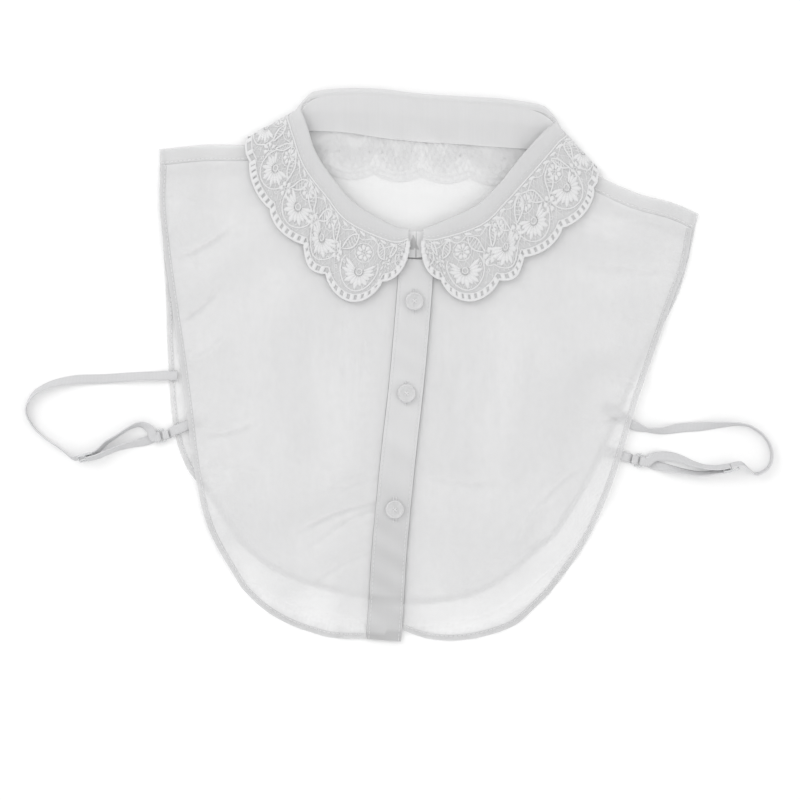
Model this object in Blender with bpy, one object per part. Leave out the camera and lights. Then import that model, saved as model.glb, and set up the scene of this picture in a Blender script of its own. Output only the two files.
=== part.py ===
"""A sheer white false collar laid flat on its back panel, neck opening to the top.

+X is to the right, +Y to the neck, +Z up. Sizes are in millimetres and become
metres when a mesh is made. The origin is on the surface it lies on, below the
middle of its outline.
"""
import math
from functools import cache

import bmesh
import bpy
from mathutils import Matrix, Vector

METRES = 0.001

# Driving dimensions, in millimetres
SEAM_GAP = 0.3
WRAP_GAP = 0.5
CLOTH = 1.0
PANEL_GAP = 0.4
HEM_WIDTH = 4.0
HEM_CLOTH = 1.4
LAYER = HEM_CLOTH + SEAM_GAP
PLACKET_WIDTH = 22.4
PLACKET_CLOTH = 1.2
PLACKET_RISE = 0.9
PLACKET_SLOPE = 20.0
STAND_CLOTH = 1.0
STAND_ARCH = {"front": 0.4, "end": 0.0, "crease": 0.1, "back": -0.3}
LEAF_CLOTH = 1.0
LEAF_SPACE = LEAF_CLOTH + SEAM_GAP
PLAIN_SHARE = {"front": 0.19, "end": 0.42, "crease": 0.25, "back": 0.19}
LEAF_START = 0.5
HALF_GAP = 0.007
LACE_RELIEF = 0.5
STRAP_WIDTH = 6.0
STRAP_CLOTH = 1.0
BUTTON_RADIUS = 6.0
BUTTON_HEIGHT = 2.4
BUTTON_HOLE = 0.75
BUTTON_HOLE_PLACE = 1.55
WIRE = 1.1
RING_ALONG = 5.6
RING_ACROSS = 9.2
SLIDER_ALONG = 10.6
SLIDER_ACROSS = 9.0
SLIDER_THICK = 1.3
SLIDER_SLOT = 3.2
SLOT_ACROSS = 7.0
SLIDER_BAR = 1.4
SLIDER_LEAVE = 7.5
SLIDER_RETURN = 6.8
SLIDER_MIDDLE = 0.2
CORNER_RADIUS = 1.3

# Outer edges of the panels, from the hem corner up to the shoulder (x, y)
BACK_LEFT_EDGE = [(-106, -113.5), (-124.5, -84), (-138, -66), (-146.6, -38), (-150, 8.5),
                  (-151, 40), (-153, 79), (-155, 108), (-155.2, 139.3)]
BACK_RIGHT_EDGE = [(102, -112), (121, -82), (136, -52), (149, -22), (162, 8), (173, 28),
                   (182.6, 48), (189.6, 74), (194.6, 97.4)]
BACK_HEM = [(-106, -113.5), (-83, -133), (-49, -146), (-5, -154.5), (28, -154.5), (62, -144),
            (102, -112)]
LEFT_EDGE = [(-102, -145), (-123, -107), (-132, -70), (-138, -23), (-143, 12), (-149, 52),
             (-152.5, 79), (-155.3, 105), (-155.6, 130)]
RIGHT_EDGE = [(99, -147.6), (121, -117), (135.5, -85), (146, -54), (155, -23), (166, 8.5),
              (177, 40), (186, 64), (192.4, 88)]
LEFT_HEM = [(-102, -145), (-88.5, -158), (-72.5, -167.8), (-55, -174.3), (-40.6, -177.6),
            (-21, -178.6)]
RIGHT_HEM = [(3.5, -172.5), (17, -177.3), (33.5, -179.2), (53, -177), (73, -170.5),
             (83, -163.2), (99, -147.6)]

# Folded shoulder edges, from the tip to the neck (x, y), and how far in front the seam lies
LEFT_SHOULDER = [(-155.2, 139.3), (-126, 142), (-97, 142.2), (-71.2, 146.6)]
RIGHT_SHOULDER = [(194.6, 97.4), (178, 104.5), (155, 110.5), (134, 119.5), (106.6, 133.4)]
SHOULDER_TURN = 9.5
LEFT_SEAM_END = (-72.6, 137.4)
RIGHT_SEAM_END = (103.6, 125.8)
SHOULDER_SHARES = (0.0, 0.05, 0.066, 0.3, 0.53, 0.77, 1.0)
NECK_CENTRE = (15.0, 130.0)
NECK_OVERLAP = 1.5

# Left edge of the placket, from the hem up to the neck (x, y)
PLACKET_EDGE = [(-20.8, -177.8), (-19, -153), (-16.8, -116), (-11.2, -58), (-5.5, -6.5),
                (-1, 45), (0.4, 69)]
BUTTONS = [("top", 10.4, 41.2), ("middle", 5.2, -18.5), ("bottom", -2.4, -93.6)]

# Stations round the neck, clockwise from the front. top is the stand's upper edge, seam its
# lower one and edge the valley of the leaf between two scallops.
NECK_COLUMNS = ("name", "kind", "top_x", "top_y", "top_z", "seam_x", "seam_y", "seam_z",
                "edge_x", "edge_y", "edge_z")
NECK = [
    ("left front", "end", 11.2, 85.6, 6.9, 11.0, 69.4, 5.5, 8.0, 79.0, 8.2),
    ("left end", "end", 6.5, 85.7, 6.9, 6.4, 69.6, 5.5, 6.3, 76.8, 8.2),
    ("left 1", "front", -3.6, 87.0, 6.9, -8.0, 70.0, 5.2, -11.0, 54.0, 5.4),
    ("left 2", "front", -28.3, 101.0, 6.9, -36.0, 85.0, 4.6, -47.0, 59.0, 4.5),
    ("left 3", "front", -43.3, 117.7, 6.9, -51.0, 102.0, 4.9, -61.0, 78.0, 4.6),
    ("left 4", "front", -55.0, 135.2, 7.0, -66.0, 121.0, 5.0, -83.0, 101.0, 5.0),
    ("left 5", "front", -60.7, 152.4, 7.2, -72.5, 138.0, 5.0, -96.0, 131.0, 5.2),
    ("left over", "front", -62.9, 159.0, 7.1, -70.6, 145.0, 5.3, -97.8, 139.5, 5.5),
    ("left crease", "crease", -62.4, 165.7, 6.0, -67.4, 151.8, 4.1, -96.8, 148.2, 2.9),
    ("left under", "back", -58.3, 170.7, 5.0, -61.5, 152.4, 3.2, -91.5, 143.2, 0.5),
    ("left back 1", "back", -50.0, 173.0, 5.6, -53.0, 152.6, 3.2, -80.0, 131.0, 0.5),
    ("left back 2", "back", -33.0, 174.0, 6.5, -33.0, 151.5, 3.2, -47.0, 126.0, 0.5),
    ("left back 3", "back", -11.0, 173.5, 6.7, -10.0, 148.0, 3.2, -16.0, 124.5, 0.5),
    ("centre back", "back", 14.0, 170.5, 6.7, 15.0, 145.5, 3.2, 15.0, 123.0, 0.5),
    ("right back 3", "back", 40.0, 168.8, 6.7, 40.0, 144.0, 3.2, 46.0, 122.0, 0.5),
    ("right back 2", "back", 64.0, 167.5, 6.5, 62.0, 142.3, 3.2, 78.0, 120.0, 0.5),
    ("right back 1", "back", 84.0, 165.0, 5.6, 80.0, 141.2, 3.2, 108.0, 116.5, 0.5),
    ("right under", "back", 95.6, 161.8, 5.0, 95.0, 140.2, 3.2, 124.5, 126.0, 0.5),
    ("right crease", "crease", 101.2, 156.5, 6.0, 103.8, 138.8, 4.1, 128.3, 128.4, 2.7),
    ("right over", "front", 97.9, 150.8, 7.1, 105.2, 132.0, 5.3, 127.8, 121.0, 5.2),
    ("right 5", "front", 93.0, 146.0, 7.2, 103.5, 126.5, 5.0, 126.0, 114.5, 5.2),
    ("right 4", "front", 81.5, 133.3, 7.0, 90.5, 116.5, 5.0, 106.0, 89.0, 4.8),
    ("right 3", "front", 65.0, 113.0, 6.9, 72.0, 97.0, 4.8, 81.0, 70.0, 4.5),
    ("right 2", "front", 50.0, 99.5, 6.9, 56.0, 83.5, 4.6, 65.0, 55.0, 4.5),
    ("right 1", "front", 25.3, 88.4, 6.9, 27.5, 71.5, 5.2, 28.0, 55.0, 5.7),
    ("right end", "end", 16.2, 86.0, 6.9, 16.0, 69.8, 5.5, 15.6, 77.0, 8.2),
    ("right front", "end", 11.8, 85.6, 6.9, 11.6, 69.4, 5.5, 15.0, 80.0, 8.2),
]
CENTRE_BACK = [row[0] for row in NECK].index("centre back")

# Scallops of the lace: first and last station, depth and number of steps
SCALLOPS = [
    ("left end", "left 1", 3.5, 4), ("left 1", "left 2", 13.0, 7), ("left 2", "left 3", 4.5, 5),
    ("left 3", "left 4", 4.5, 5), ("left 4", "left 5", 3.2, 5), ("left 5", "left back 1", 1.5, 12),
    ("left back 1", "left back 2", 4.5, 5), ("left back 2", "left back 3", 4.5, 4),
    ("left back 3", "centre back", 4.5, 4), ("centre back", "right back 3", 4.5, 4),
    ("right back 3", "right back 2", 4.5, 4), ("right back 2", "right back 1", 4.5, 5),
    ("right back 1", "right 5", 1.5, 12), ("right 5", "right 4", 5.0, 5),
    ("right 4", "right 3", 4.5, 5), ("right 3", "right 2", 4.5, 5), ("right 2", "right 1", 11.5, 7),
    ("right 1", "right end", 2.5, 4),
]
LACE_ROWS = 5
# How far the stand's top stays below the roll of the leaf at the shoulder creases
STAND_CUT = {"left over": 1.5, "left crease": 3.0, "left under": 1.5,
             "right under": 1.5, "right crease": 3.0, "right over": 1.5}

# Soft ridges of the two fronts: from x, y to x, y, half width and height
RIDGES = [
    ("from the placket", -14, -88, -66, -108, 12, 1.5),
    ("armhole upper", -148, 72, -108, 92, 11, 1.1),
    ("armhole lower", -146, 20, -104, 52, 12, 1.0),
    ("breast left", -44, 30, -52, -60, 13, 0.9),
    ("breast right", 44, 18, 52, -70, 13, 1.1),
    ("shoulder right", 112, 70, 172, 74, 12, 1.2),
    ("waist right", 24, -70, 84, -74, 12, 1.0),
    ("hem left", -62, -142, -100, -112, 12, 1.0),
]
# Where the strap ends lie between the panels: x, y, radius and height
STRAP_BUMPS = [("left tab", -136, -40, 24, 1.9), ("right strap", 143, -33, 24, 1.9),
               ("right tab", 138, -56, 24, 1.9)]

# Elastic straps. Each row: x, y, roll in degrees (0 flat, 90 on edge), height off its rest
LEFT_STRAP = [
    (-143.6, -7, 0, 1.75), (-150, -7, 0, 1.6), (-158, -7.2, 20, 0.6), (-168, -7.4, 26, 0),
    (-191, -9, 4, 0), (-210, -9.6, 20, 0), (-226.5, -13, 48, 0), (-237, -19, 68, 0),
    (-241.3, -26, 80, 0), (-241, -33, 85, 0), (-237, -40, 86, 0), (-229.8, -47, 84, 0),
    (-220, -53.5, 78, 0),
]
RIGHT_STRAP = [
    (134, -27.5, 0, 1.75), (143, -32.5, 0, 1.75), (152.5, -39.3, 8, 1.4), (161, -42, 66, 0.2),
    (171, -42.6, 42, 0), (182, -41, 6, 0), (195, -40, 14, 0), (207, -39, 50, 0),
    (220, -38.3, 74, 0), (229, -40.2, 82, 0), (236, -45, 84, 0), (240.8, -52, 85, 0),
    (242.2, -60, 85, 0), (239.5, -67, 84, 0), (232, -71, 78, 0),
]
LEFT_LOWER = [(-183, -54.4, -62, 0), (-172, -51.2, -46, 0), (-163.5, -49.2, -10, 0)]
LEFT_UPPER = [(-161.5, -41.2, 16, 2.1), (-167.5, -38.6, 55, 0.5), (-174.5, -40.8, 76, 0),
              (-182, -45.6, 80, 0), (-190, -50.8, 72, 0)]
RIGHT_LOWER = [(196, -70.8, -62, 0), (184, -69.0, -54, 0), (175, -67.0, -34, 0),
               (167, -65.3, -6, 0)]
RIGHT_UPPER = [(166, -59.8, 0, 2.3), (174, -59.2, 5, 0.6), (182, -60.6, 32, 0),
               (190, -63.6, 56, 0), (198, -66, 66, 0)]
TAB_REACH = 2.4
LEFT_TAB_END = (-130.5, -36.5)
RIGHT_TAB_END = (131.5, -55.2)
# Hardware: centre x, y, heading in degrees, roll in degrees
LEFT_RING = (-153.6, -46.0, 194.0)
RIGHT_RING = (156.0, -62.0, -11.0)
LEFT_SLIDER = (-202.5, -60.0, 14.0, 62.0)
RIGHT_SLIDER = (215.0, -66.6, 190.0, 64.0)

# Finish: name, colour, roughness
FINISHES = {
    "sheer_fabric": ((0.86, 0.86, 0.87), 0.85),
    "collar_fabric": ((0.83, 0.83, 0.84), 0.85),
    "lace": ((0.88, 0.88, 0.88), 0.8),
    "elastic": ((0.87, 0.87, 0.87), 0.7),
    "clear_plastic": ((0.85, 0.86, 0.87), 0.2),
    "button": ((0.86, 0.86, 0.86), 0.25),
}


def clear_scene():
    for thing in list(bpy.data.objects):
        bpy.data.objects.remove(thing)


def finish(name, kind):
    """A Principled material of one of the finishes, for one object."""
    colour, roughness = FINISHES[kind]
    material = bpy.data.materials.new(name + "_" + kind)
    material.use_nodes = True
    shader = material.node_tree.nodes["Principled BSDF"]
    shader.inputs["Base Color"].default_value = (*colour, 1.0)
    shader.inputs["Roughness"].default_value = roughness
    shader.inputs["Metallic"].default_value = 0.0
    return material


def add_object(name, bm, kind):
    """Turns a bmesh in millimetres into an object in metres."""
    bmesh.ops.recalc_face_normals(bm, faces=bm.faces)
    bmesh.ops.scale(bm, vec=(METRES,) * 3, verts=bm.verts)
    mesh = bpy.data.meshes.new(name)
    bm.to_mesh(mesh)
    bm.free()
    mesh.shade_smooth()
    mesh.set_sharp_from_angle(angle=math.radians(40))
    mesh.materials.append(finish(name, kind))
    thing = bpy.data.objects.new(name, mesh)
    bpy.context.collection.objects.link(thing)
    return thing


def rise(value, low, high):
    """Goes smoothly from 0 at low to 1 at high."""
    share = min(1.0, max(0.0, (value - low) / (high - low)))
    return share * share * (3 - 2 * share)


def between(a, b, share):
    return a + (b - a) * share


def catmull(a, b, c, d, t):
    """A point of the smooth curve that runs from b to c."""
    bend = 2 * a - 5 * b + 4 * c - d
    twist = 3 * b - a - 3 * c + d
    return (2 * b + (c - a) * t + bend * t * t + twist * t * t * t) * 0.5


def through(points, place):
    """The point at a place along the points: 0 is the first, 1 the second."""
    last = len(points) - 1
    start = min(int(place), last - 1)
    before = points[start - 1] if start > 0 else 2 * points[0] - points[1]
    after = points[start + 2] if start + 2 <= last else 2 * points[last] - points[last - 1]
    return catmull(before, points[start], points[start + 1], after, place - start)


def smooth_line(points, fine=8):
    """A dense line along the smooth curve through the points."""
    vectors = [Vector(p) for p in points]
    count = (len(vectors) - 1) * fine
    return [through(vectors, i / fine) for i in range(count)] + [vectors[-1]]


def lengths(line):
    total = [0.0]
    for a, b in zip(line, line[1:]):
        total.append(total[-1] + (b - a).length)
    return total


def at_shares(line, shares):
    """Points at the given shares of the line's length."""
    total = lengths(line)
    found = []
    step = 0
    for share in shares:
        target = share * total[-1]
        while step < len(line) - 2 and total[step + 1] < target:
            step += 1
        part = (target - total[step]) / (total[step + 1] - total[step])
        found.append(between(line[step], line[step + 1], min(1.0, max(0.0, part))))
    return found


def even(count, start=0.0, end=1.0):
    return [between(start, end, i / count) for i in range(count + 1)]


def hemmed(shares, size, first, last):
    """Shares with two lines added at the inner edge of each hemmed end."""
    band = HEM_WIDTH / size
    step = 1.2 / size
    head = [0.0, band, band + step] if first else [0.0]
    tail = [1 - band - step, 1 - band, 1.0] if last else [1.0]
    clear = 1.6 * band
    inner = [s for s in shares if (s > clear if first else s > 0.0)
             and (s < 1 - clear if last else s < 1.0)]
    return head + inner + tail


def patch(south, north, west, east, across, along):
    """Rows of points that fill four edges. The rows run from west to east."""
    low, high = at_shares(south, across), at_shares(north, across)
    left, right = at_shares(west, along), at_shares(east, along)
    rows = []
    for v, start, end in zip(along, left, right):
        row = []
        for u, bottom, top in zip(across, low, high):
            corners = between(between(low[0], low[-1], u), between(high[0], high[-1], u), v)
            row.append(between(bottom, top, v) + between(start, end, u) - corners)
        rows.append(row)
    return rows


def wall(name, over, under, kind):
    """A closed wall between two grids of points. A cell with a missing corner is left out."""
    bm = bmesh.new()
    sides = []
    for grid in (over, under):
        sides.append([[None if p is None else bm.verts.new(p) for p in row] for row in grid])
    top, bottom = sides
    partner = {}
    for row_over, row_under in zip(top, bottom):
        for a, b in zip(row_over, row_under):
            if a is not None:
                partner[a] = b
    for j in range(len(top) - 1):
        for i in range(len(top[0]) - 1):
            cell = [top[j][i], top[j][i + 1], top[j + 1][i + 1], top[j + 1][i]]
            if None in cell:
                continue
            a, b, c, d = cell
            for corners in ((a, b, c), (a, c, d)):
                bm.faces.new(corners)
                bm.faces.new([partner[v] for v in reversed(corners)])
    rim = [e for e in bm.edges if e.is_boundary and e.verts[0] in partner]
    for edge in rim:
        a, b = edge.verts
        bm.faces.new((a, b, partner[b], partner[a]))
    loose = [v for v in bm.verts if not v.link_faces]
    bmesh.ops.delete(bm, geom=loose, context="VERTS")
    return add_object(name, bm, kind)


def thick_sheet(name, grid, thickness, kind, relief=None):
    """A wall round a middle sheet. The side that the normals point to takes the relief."""
    over, under = [], []
    last_row, last = len(grid) - 1, len(grid[0]) - 1
    for j, row in enumerate(grid):
        over.append([])
        under.append([])
        for i, point in enumerate(row):
            k = min(max(i, 1), last - 1)
            along = row[k + 1] - row[k - 1]
            down = grid[min(j + 1, last_row)][k] - grid[max(j - 1, 0)][k]
            normal = along.cross(down).normalized()
            raised = relief(j, i) if relief else 0.0
            upper = point + normal * (thickness / 2 + raised)
            lower = point - normal * (thickness / 2)
            over[-1].append(Vector((upper.x, upper.y, max(0.0, upper.z))))
            under[-1].append(Vector((lower.x, lower.y, max(0.0, lower.z))))
    return wall(name, over, under, kind)


def plan(points):
    """Points of a table as flat vectors."""
    return [Vector((x, y, 0.0)) for x, y in points]


def shifted(line, distance):
    """The line moved sideways, to its left as it runs."""
    moved = []
    for i, point in enumerate(line):
        ahead = line[min(i + 1, len(line) - 1)] - line[max(i - 1, 0)]
        side = Vector((-ahead.y, ahead.x, 0.0)).normalized()
        moved.append(point + side * distance)
    return moved


@cache
def neck_rows():
    return [dict(zip(NECK_COLUMNS, row)) for row in NECK]


def neckline(first, last):
    """The neck edge of the panels between two stations, a little under the stand."""
    rows = neck_rows()
    seam = [Vector((r["seam_x"], r["seam_y"], 0.0)) for r in rows]
    names = [r["name"] for r in rows]
    start, end = names.index(first), names.index(last)
    step = 1 if end > start else -1
    centre = Vector((*NECK_CENTRE, 0.0))
    line = []
    for k in range(8 * abs(end - start) + 1):
        point = through(seam, start + step * k / 8)
        line.append(point + (centre - point).normalized() * NECK_OVERLAP)
    return line


def shoulder_seam(shoulder, side, neck_end):
    """The seam in front of a folded shoulder, from the tip to the neck."""
    line = shifted(smooth_line(plan(shoulder)), side * SHOULDER_TURN)
    miss = Vector((*neck_end, 0.0)) - line[-1]
    return [p + miss * (i / (len(line) - 1)) ** 2 for i, p in enumerate(line)]


@cache
def placket_left():
    return smooth_line(plan(PLACKET_EDGE))


def placket_right():
    return shifted(placket_left(), -PLACKET_WIDTH)


def back_outline():
    """The back panel's edge, all round, as a dense ring."""
    left = smooth_line(plan(BACK_LEFT_EDGE))
    right = smooth_line(plan(BACK_RIGHT_EDGE))
    hem = smooth_line(plan(BACK_HEM))
    neck = smooth_line(plan(LEFT_SHOULDER))
    neck += smooth_line(plan(RIGHT_SHOULDER))[::-1]
    return list(reversed(left)) + hem[1:] + right[1:] + neck[::-1]


def distance_outside(ring, x, y):
    """How far a point is outside the ring, and 0 inside it."""
    sides = list(zip(ring, ring[1:] + ring[:1]))
    inside = False
    for a, b in sides:
        if (a.y > y) != (b.y > y) and x < a.x + (y - a.y) * (b.x - a.x) / (b.y - a.y):
            inside = not inside
    if inside:
        return 0.0
    nearest = math.inf
    for a, b in sides:
        run = b - a
        square = run.length_squared
        share = 0.0 if square == 0 else ((x - a.x) * run.x + (y - a.y) * run.y) / square
        close = a + run * min(1.0, max(0.0, share))
        nearest = min(nearest, math.hypot(x - close.x, y - close.y))
    return nearest


def back_rest(x, y):
    """Height of the back panel's underside: the leaf lies under it near the neck."""
    across = rise(x, -140, -115) * (1 - rise(x, 150, 176))
    return LEAF_SPACE * across * rise(y, 88, 104)


def ridges(x, y):
    """Height that the fronts' soft ridges add."""
    height = 0.0
    for _, x0, y0, x1, y1, half_width, top in RIDGES:
        run = Vector((x1 - x0, y1 - y0))
        share = ((x - x0) * run.x + (y - y0) * run.y) / run.length_squared
        share = min(1.0, max(0.0, share))
        away = math.hypot(x - x0 - run.x * share, y - y0 - run.y * share)
        height += top * math.exp(-(away / half_width) ** 2) * (0.6 + 0.4 * share)
    return height


def strap_room(x, y):
    """Height that the fronts gain over the strap ends."""
    room = 0.0
    for _, cx, cy, radius, height in STRAP_BUMPS:
        away = math.hypot(x - cx, y - cy)
        room = max(room, height * (1 - rise(away, radius, radius + 22)))
    return room


class FrontRest:
    """Height of the fronts' underside at any place."""

    def __init__(self):
        self.ring = back_outline()

    def __call__(self, x, y, folds=1.0):
        outside = distance_outside(self.ring, x, y)
        over_back = 1 - rise(outside, 13.0, 21.0)
        return back_rest(x, y) + LAYER * over_back + ridges(x, y) * folds * over_back \
            + strap_room(x, y)


def panel(rows, rest, hem_rows, hem_columns):
    """Upper and lower points of a panel over its flat points, thicker in the hem band."""
    over, under = [], []
    for j, row in enumerate(rows):
        over.append([])
        under.append([])
        for i, point in enumerate(row):
            low = rest(point.x, point.y)
            thickness = HEM_CLOTH if j in hem_rows or i in hem_columns else CLOTH
            under[-1].append(Vector((point.x, point.y, low)))
            over[-1].append(Vector((point.x, point.y, low + thickness)))
    return over, under


def back_panel():
    """The back, with its shoulders turned over to the seams in front."""
    left, right = smooth_line(plan(BACK_LEFT_EDGE)), smooth_line(plan(BACK_RIGHT_EDGE))
    shoulder_left = smooth_line(plan(LEFT_SHOULDER))
    shoulder_right = smooth_line(plan(RIGHT_SHOULDER))
    neck = neckline("left under", "right under")
    north = shoulder_left + neck + shoulder_right[::-1]
    total = lengths(north)
    first = total[len(shoulder_left) - 1] / total[-1]
    last = total[len(shoulder_left) + len(neck)] / total[-1]
    across = [s * first for s in SHOULDER_SHARES] + even(8, first, last)[1:-1]
    across += [between(1.0, last, s) for s in reversed(SHOULDER_SHARES)]
    along = hemmed(even(18), 270.0, True, False)
    rows = patch(smooth_line(plan(BACK_HEM)), north, left, right, across, along)
    columns = len(across)
    over, under = panel(rows, back_rest, (0, 1), (0, 1, columns - 2, columns - 1))
    turnover(over, under, rows[-1])
    wall("back_panel", over, under, "sheer_fabric")


def turnover(over, under, top_row):
    """Rows that curl over the shoulder folds and run down to the seams in front."""
    outer = (LAYER + CLOTH) / 2
    inner = outer - CLOTH
    seams = {
        "left": shoulder_seam(LEFT_SHOULDER, -1, LEFT_SEAM_END),
        "right": shoulder_seam(RIGHT_SHOULDER, 1, RIGHT_SEAM_END),
    }
    count = len(SHOULDER_SHARES)
    ends = {"left": at_shares(seams["left"], SHOULDER_SHARES),
            "right": at_shares(seams["right"], SHOULDER_SHARES)}
    for turn in (-40, 0, 40, 90, "seam"):
        row_over = [None] * len(top_row)
        row_under = [None] * len(top_row)
        for k in range(count):
            for side, i in (("left", k), ("right", len(top_row) - 1 - k)):
                point = top_row[i]
                ahead = top_row[min(i + 1, len(top_row) - 1)] - top_row[max(i - 1, 0)]
                if k == count - 1:
                    ahead = top_row[i] - top_row[i - 1] if side == "left" \
                        else top_row[i + 1] - top_row[i]
                normal = Vector((-ahead.y, ahead.x, 0.0)).normalized()
                angle = math.radians(90 if turn == "seam" else turn)
                place = ends[side][k] if turn == "seam" else point
                middle = flat(place.x, place.y, back_rest(place.x, place.y) + outer)
                away = normal * math.cos(angle) + Vector((0, 0, math.sin(angle)))
                row_over[i] = middle + away * inner
                row_under[i] = middle + away * outer
        over.append(row_over)
        under.append(row_under)


def front_panel_left(rest):
    """The front at the left, from the armhole to the placket."""
    seam = shoulder_seam(LEFT_SHOULDER, -1, LEFT_SEAM_END)
    seam = [p + Vector((0, -PANEL_GAP, 0)) for p in seam]
    east = [p + Vector((-SEAM_GAP, 0, 0)) for p in placket_left()]
    neck = [p for p in neckline("left 5", "left end") if p.x < east[-1].x - 3]
    neck = [p for p in neck if p.y < seam[-1].y - 3] + [east[-1]]
    north = seam + neck
    corner = lengths(north)[len(seam) - 1] / lengths(north)[-1]
    west = smooth_line(plan(LEFT_EDGE[:-1]) + [seam[0]])
    south = smooth_line(plan(LEFT_HEM[:-1]) + [east[0]])
    across = [s * corner for s in SHOULDER_SHARES] + even(7, corner, 1.0)[1:]
    along = hemmed(even(18), 280.0, True, False)
    rows = patch(south, north, west, east, across, along)

    def raised(x, y):
        line = placket_x(y)
        return rest(x, y) + PLACKET_RISE * rise(x, line - 2 - PLACKET_SLOPE, line - 2)

    over, under = panel(rows, raised, (0, 1), (0, 1))
    wall("front_panel_left", over, under, "sheer_fabric")


def front_panel_right(rest):
    """The front at the right, from the button stand to the armhole."""
    seam = shoulder_seam(RIGHT_SHOULDER, 1, RIGHT_SEAM_END)
    seam = [p + Vector((-PANEL_GAP / 2, -PANEL_GAP, 0)) for p in seam]
    west = [p + Vector((SEAM_GAP, 0, 0)) for p in placket_right()]
    west = [p for p in west if p.y > RIGHT_HEM[0][1] + 6]
    west = [Vector((*RIGHT_HEM[0], 0.0))] + west
    neck = [p for p in neckline("right 5", "right end") if p.x > west[-1].x + 3]
    neck = [p for p in neck if p.y < seam[-1].y - 3] + [west[-1]]
    north = neck[::-1] + seam[::-1]
    corner = lengths(north)[len(neck)] / lengths(north)[-1]
    east = smooth_line(plan(RIGHT_EDGE[:-1]) + [seam[0]])
    south = smooth_line(plan(RIGHT_HEM))
    across = even(7, 0.0, corner)[:-1]
    across += [between(1.0, corner, s) for s in reversed(SHOULDER_SHARES)]
    along = hemmed(even(18), 280.0, True, False)
    rows = patch(south, north, west, east, across, along)
    columns = len(across)
    over, under = panel(rows, rest, (0, 1), (columns - 2, columns - 1))
    wall("front_panel_right", over, under, "sheer_fabric")


def placket_x(y):
    """x of the placket's left edge at a height."""
    line = placket_left()
    near = min(line, key=lambda p: abs(p.y - y))
    return near.x


def strip_rows():
    """Flat points of the closing strips, from the hem up to the neck seam."""
    return [at_shares([a, b], even(3)) for a, b in zip(at_shares(placket_left(), even(20)),
                                                       at_shares(placket_right(), even(20)))]


def closing_strips(rest):
    """The button stand and the placket over it, on the same points."""
    for name, base in (("button_stand", 0.0), ("placket", PLACKET_CLOTH + SEAM_GAP)):
        over, under = [], []
        for row in strip_rows():
            low = [rest(p.x, p.y, 0.0) + base for p in row]
            under.append([Vector((p.x, p.y, z)) for p, z in zip(row, low)])
            over.append([Vector((p.x, p.y, z + PLACKET_CLOTH)) for p, z in zip(row, low)])
        wall(name, over, under, "sheer_fabric")


def button(name, x, y, rest):
    """A shirt button with a raised rim and four holes."""
    base = rest(x, y, 0.0) + 2 * PLACKET_CLOTH + 2 * SEAM_GAP
    profile = [(0.0, 0.0), (BUTTON_RADIUS - 1.2, 0.0), (BUTTON_RADIUS, 0.9),
               (BUTTON_RADIUS - 0.3, 2.1), (BUTTON_RADIUS - 1.1, BUTTON_HEIGHT),
               (BUTTON_RADIUS - 2.2, 1.7), (0.0, 1.6)]
    bm = bmesh.new()
    verts = [bm.verts.new((r, 0, z)) for r, z in profile]
    edges = [bm.edges.new(pair) for pair in zip(verts, verts[1:])]
    bmesh.ops.spin(bm, geom=verts + edges, axis=(0, 0, 1), cent=(0, 0, 0),
                   angle=math.tau, steps=20, use_duplicate=False)
    bmesh.ops.remove_doubles(bm, verts=bm.verts, dist=0.001)
    thing = add_object("button_" + name, bm, "button")
    thing.location = Vector((x, y, base)) * METRES
    for k in range(4):
        angle = math.radians(45 + 90 * k)
        place = Vector((math.cos(angle), math.sin(angle), 0)) * BUTTON_HOLE_PLACE
        cutter = bmesh.new()
        bmesh.ops.create_cone(cutter, cap_ends=True, segments=8, radius1=BUTTON_HOLE,
                              radius2=BUTTON_HOLE, depth=6, matrix=Matrix.Translation(place))
        hole = add_object(f"hole_{name}_{k + 1}", cutter, "button")
        hole.parent = thing
        hole.hide_render = True
        hole.display_type = "WIRE"
        cut = thing.modifiers.new("hole", "BOOLEAN")
        cut.operation = "DIFFERENCE"
        cut.solver = "EXACT"
        cut.object = hole


def flat(x, y, z=0.0):
    return Vector((x, y, z))


def collar_controls(row):
    """Control points of the leaf at a station, from the stand's top to the valley."""
    top = flat(row["top_x"], row["top_y"], row["top_z"])
    seam = flat(row["seam_x"], row["seam_y"], row["seam_z"])
    edge = flat(row["edge_x"], row["edge_y"], row["edge_z"])
    up = (top - seam).normalized()
    inward = Vector((up.x, up.y, 0)).normalized()
    fall = Vector((edge.x - top.x, edge.y - top.y, 0))
    size = fall.length
    outward = fall.normalized()
    kind = row["kind"]
    drop = top.z - edge.z
    plain = PLAIN_SHARE[kind]

    def place(along_in, along_out, height):
        return top + inward * along_in + outward * along_out + Vector((0, 0, height))

    rolls = {
        "front": [(2.3, 0, 1.0), (2.6, 0, 2.2), (0.5, 0, 2.9), (0, 0.10 * size, 2.6)],
        "end": [(1.6, 0, 0.7), (1.9, 0, 1.6), (0.6, 0, 2.3), (0, 0.18 * size, 2.2)],
        "crease": [(2.0, 1.0, 0.7), (2.2, 3.0, 0.9), (1.0, 5.0, 0.8), (0.3, 0.17 * size, 0.4)],
        "back": [(2.6, 0, 0.5), (4.8, 0, -0.16 * drop), (5.0, 0, -0.6 * drop),
                 (2.0, 0, -0.88 * drop)],
    }
    shoulder = {"front": 2.4, "end": 2.2, "crease": 0.6, "back": 0.0}[kind]
    last = top + outward * plain * size
    last.z = edge.z if kind == "back" else between(top.z + shoulder, edge.z, plain)
    start = top + up * LEAF_START
    if kind == "crease":
        start = top + (up + outward * 1.6).normalized() * LEAF_START * 2
    return [start] + [place(*numbers) for numbers in rolls[kind]] + [last, edge]


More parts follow.
